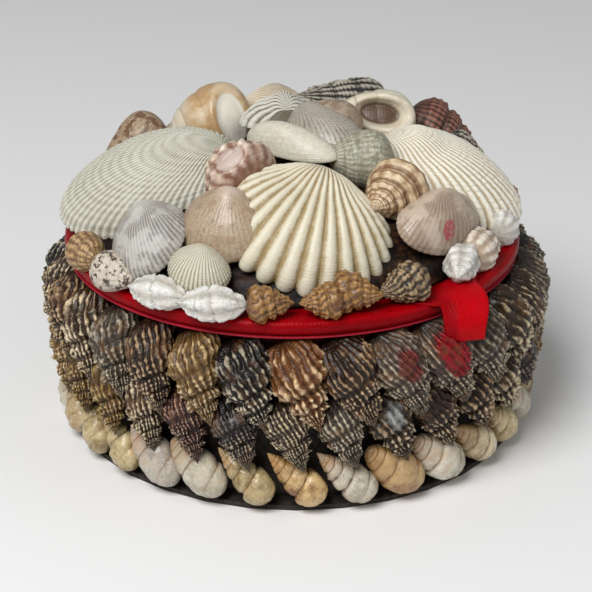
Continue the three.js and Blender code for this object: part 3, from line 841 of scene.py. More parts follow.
def glueBed():
    r, base = lid["bedRadius"], lid["top"] + 0.3 * mm
    steps = 26
    profile = [(0.0, base)]
    for i in range(steps + 1):
        radius = r * math.cos(math.pi / 2 * i / steps)
        profile.append((radius if i < steps else 0.0, base + bedRise(radius) * 0.97))

    def ripple(a, i):
        if i < 1 or i > steps:
            return 0.0, 0.0
        lump = 0.5 * math.sin(11 * a + i) + 0.4 * math.sin(17 * a - 1.7 * i) \
            + 0.3 * math.sin(29 * a + 2.3 * i)
        return lump * lid["lumpOut"], lump * lid["lumpUp"] * min(1, i / 4)

    mesh = turned("glueBed", profile, glueAndShadeLook, 140, ripple, closed=False, shift=lid["shift"])
    return piece("glueBed", mesh, "lid", "glue", "glue_bed")


lidBoard()
lidLining()
glueBed()

print("hinge cloth and pull tab")
strap = {
    "width": 42 * mm,
    "widthAt": 54.0,          # the radius in mm at which it is that wide, and its own middle radius
    "middleAt": 57.0,
    "path": [(55.5, 33.4), (55.5, 39.0), (55.5, 42.2), (56.0, 43.9), (57.6, 45.3), (58.8, 46.2),
             (59.2, 47.4), (59.2, 49.0), (59.2, 50.7)],
    "thick": 0.6 * mm,
    "columns": 48,
    "lidFrom": 43.4,          # above this height in mm it follows the lid, which sits to one side
    "pucker": 0.12,
}
tab = {
    "width": 10.4 * mm,
    "widest": 1.42,           # times the width, just past the lid's edge
    "taper": 0.62,            # what it loses of that where it hangs
    "flare": 0.6,             # how much wider it is glued down
    "thick": 0.8 * mm,
    "overhang": 8.2 * mm,
    "drop": 9.8 * mm,
    "rootReach": 5.0 * mm,
    "twist": -34.0,
    "lie": 52.0 * mm,
    "aside": 0.8,             # to the left in mm at its end, and further at its root
    "rootAside": 2.0,
    "flapFrom": -0.22,        # left of this share of its width it is folded back
    "flapFold": 1.5,
    "ruffle": 0.35,
}


def slab(name, front, columns, rows, thick, finish, edge=None):
    # a closed sheet with two sides, from the middle points of a grid
    def normalAt(i, j):
        u = front[min(i + 1, columns)][j] - front[max(i - 1, 0)][j]
        v = front[i][min(j + 1, rows)] - front[i][max(j - 1, 0)]
        return u.cross(v).normalized()

    points = [[], []]
    for i in range(columns + 1):
        for j in range(rows + 1):
            away = normalAt(i, j) * thick / 2
            points[0].append(front[i][j] + away)
            points[1].append(front[i][j] - away)
    count = len(points[0])

    def at(side, i, j):
        return side * count + i * (rows + 1) + j

    faces = []
    for i in range(columns):
        for j in range(rows):
            faces.append((at(0, i, j), at(0, i + 1, j), at(0, i + 1, j + 1), at(0, i, j + 1)))
            faces.append((at(1, i, j), at(1, i, j + 1), at(1, i + 1, j + 1), at(1, i + 1, j)))
    rim = [(i, 0) for i in range(columns)] + [(columns, j) for j in range(rows)]
    rim += [(i, rows) for i in range(columns, 0, -1)] + [(0, j) for j in range(rows, 0, -1)]
    for n, here in enumerate(rim):
        there = rim[(n + 1) % len(rim)]
        faces.append((at(0, *here), at(1, *here), at(1, *there), at(0, *there)))
    mesh = bpy.data.meshes.new(name)
    mesh.from_pydata([tuple(p) for side in points for p in side], [], faces)
    if edge:
        worn = [edge(i, j) for i in range(columns + 1) for j in range(rows + 1)]
        mesh.attributes.new("edge", "FLOAT", "POINT").data.foreach_set("value", worn * 2)
    mesh.materials.append(finish)
    mesh.shade_smooth()
    tidy(mesh)
    return mesh


def hingeCloth():
    columns, rows = strap["columns"], len(strap["path"]) - 1
    front = []
    for i in range(columns + 1):
        a = math.pi / 2 + (0.5 - i / columns) * strap["width"] / (strap["widthAt"] * mm)
        line = []
        for j, (radius, height) in enumerate(strap["path"]):
            onLid = clamped((height - strap["lidFrom"]) / 3)
            pucker = strap["pucker"] * math.sin(37 * a + j) * (1 if 2 <= j <= 6 else 0)
            r = (radius + pucker) * mm
            x = r * math.cos(a) + onLid * lid["shift"]
            line.append(Vector((x, r * math.sin(a), height * mm)))
        front.append(line)
    mesh = slab("hingeCloth", front, columns, rows, strap["thick"], velvet)
    strip = bpy.data.objects.new("hingeCloth", mesh)
    bpy.context.scene.collection.objects.link(strip)
    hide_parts("hinge_cloth")
    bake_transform(strip)
    return strip


def pullTab():
    columns, rows = 20, 36
    radius, over = lid["radius"], tab["overhang"]
    knots = [(radius - tab["rootReach"], tab["lie"]), (radius + 0.4 * mm, tab["lie"]),
             (radius + 0.6 * over, tab["lie"] - 2.2 * mm), (radius + over, tab["lie"] - 5.6 * mm),
             (radius + over, tab["lie"] - tab["drop"])]
    # the ribbon's middle line, eased through those points
    line = [Vector((k[0], k[1])) for k in knots]
    for _ in range(3):
        fine = [line[0]]
        for a, b in zip(line, line[1:]):
            fine += [a.lerp(b, 0.25), a.lerp(b, 0.75)]
        line = fine + [line[-1]]
    runs = [0.0]
    for a, b in zip(line, line[1:]):
        runs.append(runs[-1] + (b - a).length)

    def alongLine(share):
        want = share * runs[-1]
        for n in range(len(line) - 1):
            if runs[n + 1] >= want - 1e-12:
                part = (want - runs[n]) / max(1e-9, runs[n + 1] - runs[n])
                return line[n].lerp(line[n + 1], part)
        return line[-1]

    front = []
    for i in range(columns + 1):
        across = i / columns - 0.5
        strip = []
        for j in range(rows + 1):
            reach, height = alongLine(j / rows)
            beyond = clamped((reach - radius) / over)
            onLid = clamped((radius - reach) / tab["rootReach"])
            hung = clamped((j / rows - 0.2) / 0.8)
            wide = tab["width"] * (1 + tab["flare"] * onLid) * (tab["widest"] - tab["taper"] * hung)
            fold = tab["ruffle"] * math.sin(across * 9 + 0.6) * (0.25 + 0.75 * (1 - beyond)) \
                - tab["flapFold"] * clamped((tab["flapFrom"] - across) / 0.2) \
                + tab["ruffle"] * math.sin(4 * hung + 3 * across)
            x = across * wide - (tab["aside"] + tab["rootAside"] * (1 - hung)) * mm
            y = radius - reach
            twist = math.radians(tab["twist"]) * beyond
            px = x * math.cos(twist) - y * math.sin(twist) + lid["shift"]
            py = x * math.sin(twist) + y * math.cos(twist) - radius
            rise = fold * (1 - beyond) * 0.6 * mm
            strip.append(Vector((px, py - fold * beyond * mm, height + rise)))
        front.append(strip)

    def edge(i, j):
        # painted shade: the folded-back side and the root are darkened
        flap = clamped((0.5 - i / columns - 0.2) / 0.08)
        root = 1 - clamped(j / rows / 0.4)
        return max(flap * 0.8, root * 0.75)

    mesh = slab("pullTab", front, columns, rows, tab["thick"], satin, edge)
    ribbon = piece("pullTab", mesh, "lid", "red_ribbon", "pull_tab")
    return ribbon


hingeCloth()
pullTab()

print("rows of shells on the wall")
# colours as deep, high and a patch with its strength; the grey patches of worn and night are a painted
# highlight, and the red ones paint
tones = {
    "gold": ((0.14, 0.050, 0.013), (0.92, 0.66, 0.38), (0, 0, 0, 0)),
    "black": ((0.006, 0.004, 0.003), (0.66, 0.58, 0.42), (0, 0, 0, 0)),
    "olive": ((0.13, 0.07, 0.02), (0.72, 0.52, 0.26), (0, 0, 0, 0)),
    "brown": ((0.022, 0.009, 0.004), (0.50, 0.33, 0.18), (0, 0, 0, 0)),
    "redDab": ((0.07, 0.05, 0.035), (0.52, 0.43, 0.32), (0.13, 0.003, 0.006, 0.9)),
    "redPatch": ((0.07, 0.045, 0.03), (0.62, 0.50, 0.36), (0.24, 0.001, 0.006, 1.4)),
    "fleck": ((0.035, 0.018, 0.008), (0.76, 0.62, 0.40), (0, 0, 0, 0)),
    "grey": ((0.06, 0.045, 0.03), (0.50, 0.43, 0.31), (0, 0, 0, 0)),
    "worn": ((0.025, 0.013, 0.007), (0.38, 0.27, 0.17), (0.38, 0.39, 0.38, 0.8)),
    "night": ((0.006, 0.004, 0.004), (0.20, 0.15, 0.12), (0.42, 0.40, 0.42, 0.5)),
    "wine": ((0.030, 0.008, 0.006), (0.46, 0.25, 0.17), (0, 0, 0, 0)),
    "amber": ((0.08, 0.04, 0.008), (0.46, 0.30, 0.09), (0, 0, 0, 0)),
    "cream": ((0.34, 0.22, 0.09), (0.78, 0.68, 0.46), (0, 0, 0, 0)),
    "white": ((0.40, 0.34, 0.23), (0.78, 0.74, 0.62), (0, 0, 0, 0)),
    "honey": ((0.26, 0.11, 0.025), (0.76, 0.54, 0.25), (0, 0, 0, 0)),
    "lilac": ((0.34, 0.28, 0.22), (0.68, 0.62, 0.53), (0, 0, 0, 0)),
    "straw": ((0.26, 0.16, 0.05), (0.72, 0.60, 0.34), (0, 0, 0, 0)),
}
darkMix = ["brown", "fleck", "grey", "black", "wine", "olive", "brown", "night", "amber", "fleck"]
paleMix = ["cream", "white", "straw", "honey", "white", "lilac", "cream"]
# foot and head are radius and height in mm, and the first shell stands at the front
rows = {
    "upperRow": {
        "node": "upper_shell_row", "slot": "dark_shell", "count": 30,
        "foot": (60.1, 45.4), "head": (62.6, 23.6), "slip": 9.0, "start": 0.36, "lowered": 3.4,
        "seed": 3, "mix": darkMix,
        "hingeReach": 34.4,    # shells this near to the hinge's middle stand lower
        "chosen": {19: "fleck", 20: "brown", 21: "fleck", 22: "grey", 23: "brown", 24: "olive",
                   25: "black", 26: "gold", 27: "brown", 28: "redDab", 29: "redPatch", 0: "grey",
                   1: "fleck", 2: "fleck", 3: "grey"},
        "kindAt": {23: 3, 24: 0, 25: 2, 26: 5, 27: 1, 28: 4, 29: 3},
        "leanAt": {26: 1.05, 27: 1.15, 28: 1.3, 29: 1.35, 0: 1.3, 1: 1.2},
    },
    "middleRow": {
        "node": "middle_shell_row", "slot": "dark_shell", "count": 30,
        "foot": (59.2, 31.0), "head": (62.4, 12.6), "slip": 8.0, "start": 0.13, "lowered": 0.0,
        "seed": 11, "mix": darkMix,
        "chosen": {20: "olive", 21: "amber", 22: "amber", 23: "fleck", 24: "wine", 25: "night",
                   26: "fleck", 27: "grey", 28: "worn", 29: "brown", 0: "brown", 1: "fleck"},
    },
    "bottomRow": {
        "node": "bottom_shell_row", "slot": "pale_shell", "count": 30,
        "foot": (59.8, 3.4), "head": (59.0, 15.6), "slip": -14.0, "start": 0.21, "lowered": 0.0,
        "seed": 5, "mix": paleMix,
        "chosen": {22: "straw", 23: "lilac", 24: "white", 25: "straw", 26: "honey", 27: "white",
                   28: "honey", 29: "white", 0: "cream", 1: "straw"},
        "kindAt": {28: 2, 29: 2, 27: 1, 26: 0, 25: 0},
    },
}


def shellKinds(name, finish, kinds):
    # shells of unit length, that the ring scales to each place
    group = bpy.data.collections.new(name)
    bpy.context.scene.collection.children.link(group)
    for n, values in enumerate(kinds):
        mesh = grown(f"{name}{n}", coiled, {**values, "Finish": finish})
        group.objects.link(bpy.data.objects.new(f"{name}{n}", mesh))
    return group


def shellRow(name, group, kindCount):
    row = rows[name]
    pick = random.Random(row["seed"])
    seedMesh = bpy.data.meshes.new(name + "Spots")
    seedMesh.from_pydata([(0, 0, 0)] * row["count"], [], [])
    names = [row["chosen"].get(n) or pick.choice(row["mix"]) for n in range(row["count"])]
    kinds = seedMesh.attributes.new("kind", "INT", "POINT")
    order = [pick.randrange(kindCount) for _ in names]
    order = [row.get("kindAt", {}).get(n, k) for n, k in enumerate(order)]
    kinds.data.foreach_set("value", order)
    lean = seedMesh.attributes.new("lean", "FLOAT", "POINT")
    lean.data.foreach_set("value", [row.get("leanAt", {}).get(n, 1.0) for n in range(row["count"])])
    for label, place in (("deepTint", 0), ("highTint", 1), ("patchTint", 2)):
        tint = seedMesh.attributes.new(label, "FLOAT_COLOR", "POINT")
        flat = []
        for tone in names:
            colour = tones[tone][place]
            shade = 1 + pick.uniform(-0.12, 0.12)
            flat += [c * shade for c in colour[:3]] + [colour[3] if len(colour) > 3 else 1.0]
        tint.data.foreach_set("color", flat)
    reach = row["foot"][0] * mm
    mesh = grown(name, ringed, {
        "Foot Radius": reach, "Foot Height": row["foot"][1] * mm,
        "Head Radius": row["head"][0] * mm, "Head Height": row["head"][1] * mm,
        "Turn": row["slip"] / 2 * mm / reach, "Start": row["start"], "Count": row["count"],
        "Lowered": row["lowered"] * mm, "Hinge Reach": row.get("hingeReach", 0.0) * mm,
        "Seed": row["seed"],
        "Shells": group, "Finish": row["look"]}, seedMesh)
    return piece(name, mesh, "box", row["slot"], row["node"])


rowLooks = {
    "ribbedDarkShell": dict(speckShare=1.0, grooveColourAndShade=(0.004, 0.002, 0.0015), gloss=0.2, coat=0.2,
                            filmColour=(0.13, 0.055, 0.016), filmShare=0.6),
    "smoothPaleShell": dict(speckShare=0.4, ribPaint=0.02, wornShare=0.1, grooveColourAndShade=(0.20, 0.085, 0.02),
                            gloss=0.14, paint=(0.15, 0.62), shine=0.5, coat=0.5,
                            filmColour=(0.44, 0.26, 0.10), filmShare=0.5,
                            tipColour=(0.42, 0.20, 0.06)),
}
darkLook, paleLook = (ringFinish(name, **look) for name, look in rowLooks.items())
# shells of unit length: how each kind is ribbed, wound, leaned and proportioned
ribbedKinds = [
    {"Ribs": float(ribs), "Rib Depth": depth, "Knobs": knobs, "Cords": float(cords), "Rib Slant": slant,
     "Phase": phase, "Growth": growth, "Seam": seam, "Spire Side": lean, "Seed": 0.3 * n,
     "Width": wide, "Depth": deep, "Length": 1.0, "Cord Depth": 0.012, "Wear": 0.07, "Wear Scale": 8.0,
     "Body From": 0.42, "Rib Sharp": 1.0, "Wander": 1.5, "Curl": 0.40, "Tip": 1.0, "Shoulder": 0.10,
     "Columns": 72, "Rings": 44}
    for n, (ribs, depth, knobs, cords, slant, phase, growth, seam, lean, wide, deep) in enumerate([
        (19, 0.036, 0.034, 4, 3.0, 0.1, 1.58, 0.40, 0.10, 0.520, 0.430),
        (23, 0.028, 0.036, 4, 2.0, 0.4, 1.52, 0.42, 0.12, 0.540, 0.440),
        (18, 0.040, 0.028, 3, 4.0, 0.7, 1.64, 0.36, 0.08, 0.535, 0.430),
        (21, 0.030, 0.042, 4, 2.5, 0.9, 1.56, 0.40, 0.14, 0.515, 0.430),
        (24, 0.024, 0.038, 5, 3.5, 0.25, 1.50, 0.38, 0.11, 0.530, 0.435),
        (15, 0.044, 0.034, 3, 2.2, 0.55, 1.60, 0.42, 0.09, 0.530, 0.425)])]
smoothKinds = [
    {"Ribs": 24.0, "Rib Depth": depth, "Knobs": depth, "Cords": 5.0, "Phase": phase, "Tip": tip,
     "Growth": growth, "Seam": seam, "Shoulder": 0.08, "Spire Side": lean, "Seed": 0.4 * n,
     "Width": wide, "Depth": deep, "Length": 1.0, "Cord Depth": 0.004, "Wear": 0.05,
     "Wear Scale": 6.0, "Columns": 50, "Rings": 36, "Body From": 0.62, "Belly": belly}
    for n, (depth, phase, tip, growth, seam, lean, wide, deep, belly) in enumerate([
        (0.002, 0.15, 0.85, 1.50, 0.46, 0.06, 0.48, 0.42, 3.4),
        (0.012, 0.55, 0.85, 1.45, 0.52, 0.08, 0.47, 0.42, 3.8),
        (0.001, 0.35, 0.55, 1.90, 0.16, 0.00, 0.56, 0.46, 2.4),
        (0.002, 0.80, 0.80, 1.55, 0.44, -0.05, 0.48, 0.42, 3.2)])]
darkGroup = shellKinds("ribbedShell", darkLook, ribbedKinds)
paleGroup = shellKinds("smoothShell", paleLook, smoothKinds)
for label, group, look, kinds in (("upperRow", darkGroup, darkLook, ribbedKinds),
                                  ("middleRow", darkGroup, darkLook, ribbedKinds),
                                  ("bottomRow", paleGroup, paleLook, smoothKinds)):
    rows[label]["look"] = look
    shellRow(label, group, len(kinds))
for group in (darkGroup, paleGroup):
    for thing in list(group.objects):
        bpy.data.objects.remove(thing)
    bpy.data.collections.remove(group)

print("shells on the lid")


def cockle(width, bulge, ribs, look, **more):
    return {"tree": fanned, "wall": 1.1 * mm, "look": look, "Width": width * mm, "Bulge": bulge * mm,
            "Ribs": float(ribs), **more}


def clam(width, bulge, look, **more):
    return cockle(width, bulge, 40, look, **{
        "Rib Depth": 0.12 * mm, "Scallop": 0.1 * mm, "Columns": 120, "Rings": 24, "Lines": 12.0,
        "Line Depth": 0.15 * mm, "Umbo": 0.2, **more})


def coil(width, look, depth=None, **more):
    return {"tree": coiled, "look": look, "Width": width * mm, "Depth": (depth or width) * mm,
            "Columns": 72, "Rings": 36, **more}


# deep lies between the ribs and high on them
looks = {
    "creamRibs": dict(deep=(0.34, 0.24, 0.10), high=(0.70, 0.645, 0.50), dirt=0.35),
    "whiteRibs": dict(ribPaint=0.8, deep=(0.36, 0.34, 0.25), high=(0.64, 0.63, 0.54), dirt=0.2,
                      ringed=0.15),
    "topRibs": dict(deep=(0.16, 0.14, 0.10), high=(0.68, 0.66, 0.58), dirt=0.4),
    "dottedRibs": dict(deep=(0.50, 0.40, 0.25), high=(0.90, 0.86, 0.74), ringed=0.5, dirt=0.15),
    "backRibs": dict(deep=(0.38, 0.26, 0.15), high=(0.70, 0.62, 0.48), ringed=0.4),
    "orangeMoon": dict(ribPaint=0.0, deep=(0.36, 0.20, 0.08), high=(0.60, 0.40, 0.20),
                       mottle=(0.70, 0.60, 0.44), mottleShare=0.5, mottleSize=130.0,
                       inside=(0.76, 0.72, 0.62), tip=(0.7, 0.62, 0.5), gloss=0.22, coat=0.5),
    # painted shade: the open snail's opening darkens towards its depth
    "ivory": dict(ribPaint=0.0, deep=(0.50, 0.43, 0.30), high=(0.78, 0.73, 0.60),
                  inside=(0.09, 0.045, 0.02), gloss=0.25, mottle=(0.52, 0.38, 0.22), mottleShare=0.35,
                  mottleSize=110.0, mouthFrom=(0.55, 1.0)),
    "redCone": dict(ribPaint=0.7, deep=(0.030, 0.009, 0.006), high=(0.26, 0.105, 0.07), dirt=0.3),
    "tanMottle": dict(ribPaint=0.1, deep=(0.20, 0.13, 0.075), high=(0.52, 0.41, 0.28),
                      mottle=(0.26, 0.14, 0.085), mottleShare=0.5, mottleSize=300.0,
                      tip=(0.66, 0.54, 0.44), dirt=0.3, gloss=0.2, coat=0.35),
    "pinkMottle": dict(ribPaint=0.7, deep=(0.24, 0.11, 0.07), high=(0.72, 0.60, 0.48),
                       mottle=(0.40, 0.19, 0.13), mottleShare=0.4, mottleSize=420.0,
                       inside=(0.58, 0.46, 0.40), gloss=0.25, coat=0.3),
    "lilacFine": dict(ribPaint=0.55, deep=(0.15, 0.135, 0.12), high=(0.42, 0.40, 0.36),
                      mottle=(0.56, 0.54, 0.50), mottleShare=0.6, mottleSize=220.0,
                      tip=(0.62, 0.60, 0.54), dirt=0.4),
    "roseFine": dict(ribPaint=0.25, gloss=0.22, coat=0.35, deep=(0.20, 0.13, 0.09),
                     high=(0.47, 0.36, 0.27), mottle=(0.64, 0.53, 0.42), mottleShare=0.6,
                     mottleSize=120.0, dirt=0.3, stain=(0.42, 0.01, 0.03)),
    "goldBanded": dict(ribPaint=0.3, deep=(0.30, 0.15, 0.05), high=(0.80, 0.66, 0.44), bands=2.0,
                       bandShare=0.75, bandColour=(0.22, 0.09, 0.03), dirt=0.6),
    "greenStone": dict(ribPaint=0.3, deep=(0.16, 0.15, 0.10), high=(0.58, 0.56, 0.44),
                       mottle=(0.15, 0.16, 0.10), mottleShare=0.7, mottleSize=620.0),
    "whiteSmooth": dict(ribPaint=0.0, deep=(0.50, 0.46, 0.34), high=(0.76, 0.73, 0.62), dirt=0.05,
                        gloss=0.25, mottle=(0.36, 0.35, 0.26), mottleShare=0.3),
    "greyPearl": dict(ribPaint=0.3, deep=(0.18, 0.15, 0.12), high=(0.46, 0.42, 0.35), ringed=0.5,
                      gloss=0.22, coat=0.3),
    "beigeSnail": dict(ribPaint=0.1, deep=(0.20, 0.13, 0.08), high=(0.50, 0.41, 0.30),
                       mottle=(0.16, 0.10, 0.07), mottleShare=0.6, mottleSize=300.0, bands=2.0,
                       bandShare=0.25, bandColour=(0.22, 0.13, 0.08)),
    "darkRibs": dict(deep=(0.006, 0.005, 0.004), high=(0.40, 0.37, 0.30), dirt=0.2),
    "brownMottle": dict(ribPaint=0.1, deep=(0.13, 0.055, 0.022), high=(0.50, 0.38, 0.25),
                        mottle=(0.12, 0.045, 0.02), mottleShare=0.85, mottleSize=330.0, gloss=0.25),
    "paleGreen": dict(deep=(0.30, 0.27, 0.17), high=(0.66, 0.63, 0.51), ringed=0.5, dirt=0.3),
    "goldBead": dict(ribPaint=0.5, deep=(0.11, 0.045, 0.015), high=(0.56, 0.37, 0.17),
                     mottle=(0.11, 0.05, 0.02), mottleShare=0.65, mottleSize=560.0, dirt=0.5),
    "spotted": dict(ribPaint=0.2, deep=(0.40, 0.32, 0.24), high=(0.72, 0.66, 0.56),
                    mottle=(0.04, 0.015, 0.01), mottleShare=0.95, mottleSize=760.0),
    "chalkSpire": dict(ribPaint=0.4, deep=(0.40, 0.37, 0.31), high=(0.84, 0.84, 0.80), dirt=0.25,
                       mottle=(0.42, 0.30, 0.20), mottleShare=0.25, mottleSize=330.0),
    "amber": dict(ribPaint=0.35, deep=(0.07, 0.02, 0.004), high=(0.46, 0.24, 0.07),
                  mottle=(0.08, 0.022, 0.006), mottleShare=0.8, mottleSize=340.0, gloss=0.2,
                  coat=0.3),
    "darkBead": dict(deep=(0.010, 0.005, 0.003), high=(0.40, 0.28, 0.15), mottle=(0.05, 0.022, 0.01),
                     mottleShare=0.5, mottleSize=500.0, dirt=0.4),
    "pinkBead": dict(deep=(0.42, 0.32, 0.23), high=(0.80, 0.74, 0.64), mottle=(0.56, 0.36, 0.26),
                     mottleShare=0.25, mottleSize=400.0, dirt=0.5),
}
finishes = {label: shellFinish(label, **values) for label, values in looks.items()}

knobby = {"Ribs": 11.0, "Rib Depth": 0.35 * mm, "Knobs": 0.5 * mm, "Cords": 4.0,
          "Cord Depth": 0.12 * mm}
plain = {"Wander": 1.0, "Ribs": 30.0, "Rib Depth": 0.02 * mm, "Knobs": 0.05 * mm, "Cords": 4.0,
         "Cord Depth": 0.05 * mm, "Wear": 0.6 * mm, "Wear Scale": 230.0, "Seam": 0.08, "Growth": 2.1,
         "Body From": 0.3}
whelk = {"Wander": 1.5, "Ribs": 12.0, "Rib Depth": 0.35 * mm, "Knobs": 0.5 * mm, "Cords": 3.0,
         "Tip": 1.0, "Seam": 0.45, "Growth": 1.5, "Body From": 0.5, "Shoulder": 0.12,
         "Rib Slant": 3.0, "Wear": 0.9 * mm, "Wear Scale": 330.0}
spindle = {"Tip": 1.2, "Belly": 1.0, "End": 1.1, "Ribs": 5.0, "Rib Depth": 0.8 * mm,
           "Knobs": 0.5 * mm, "Cords": 1.0, "Cord Depth": 0.15 * mm, "Seam": 0.35, "Growth": 1.7,
           "Body From": 0.6, "Shoulder": 0.1, "Wear": 0.6 * mm, "Wear Scale": 320.0}

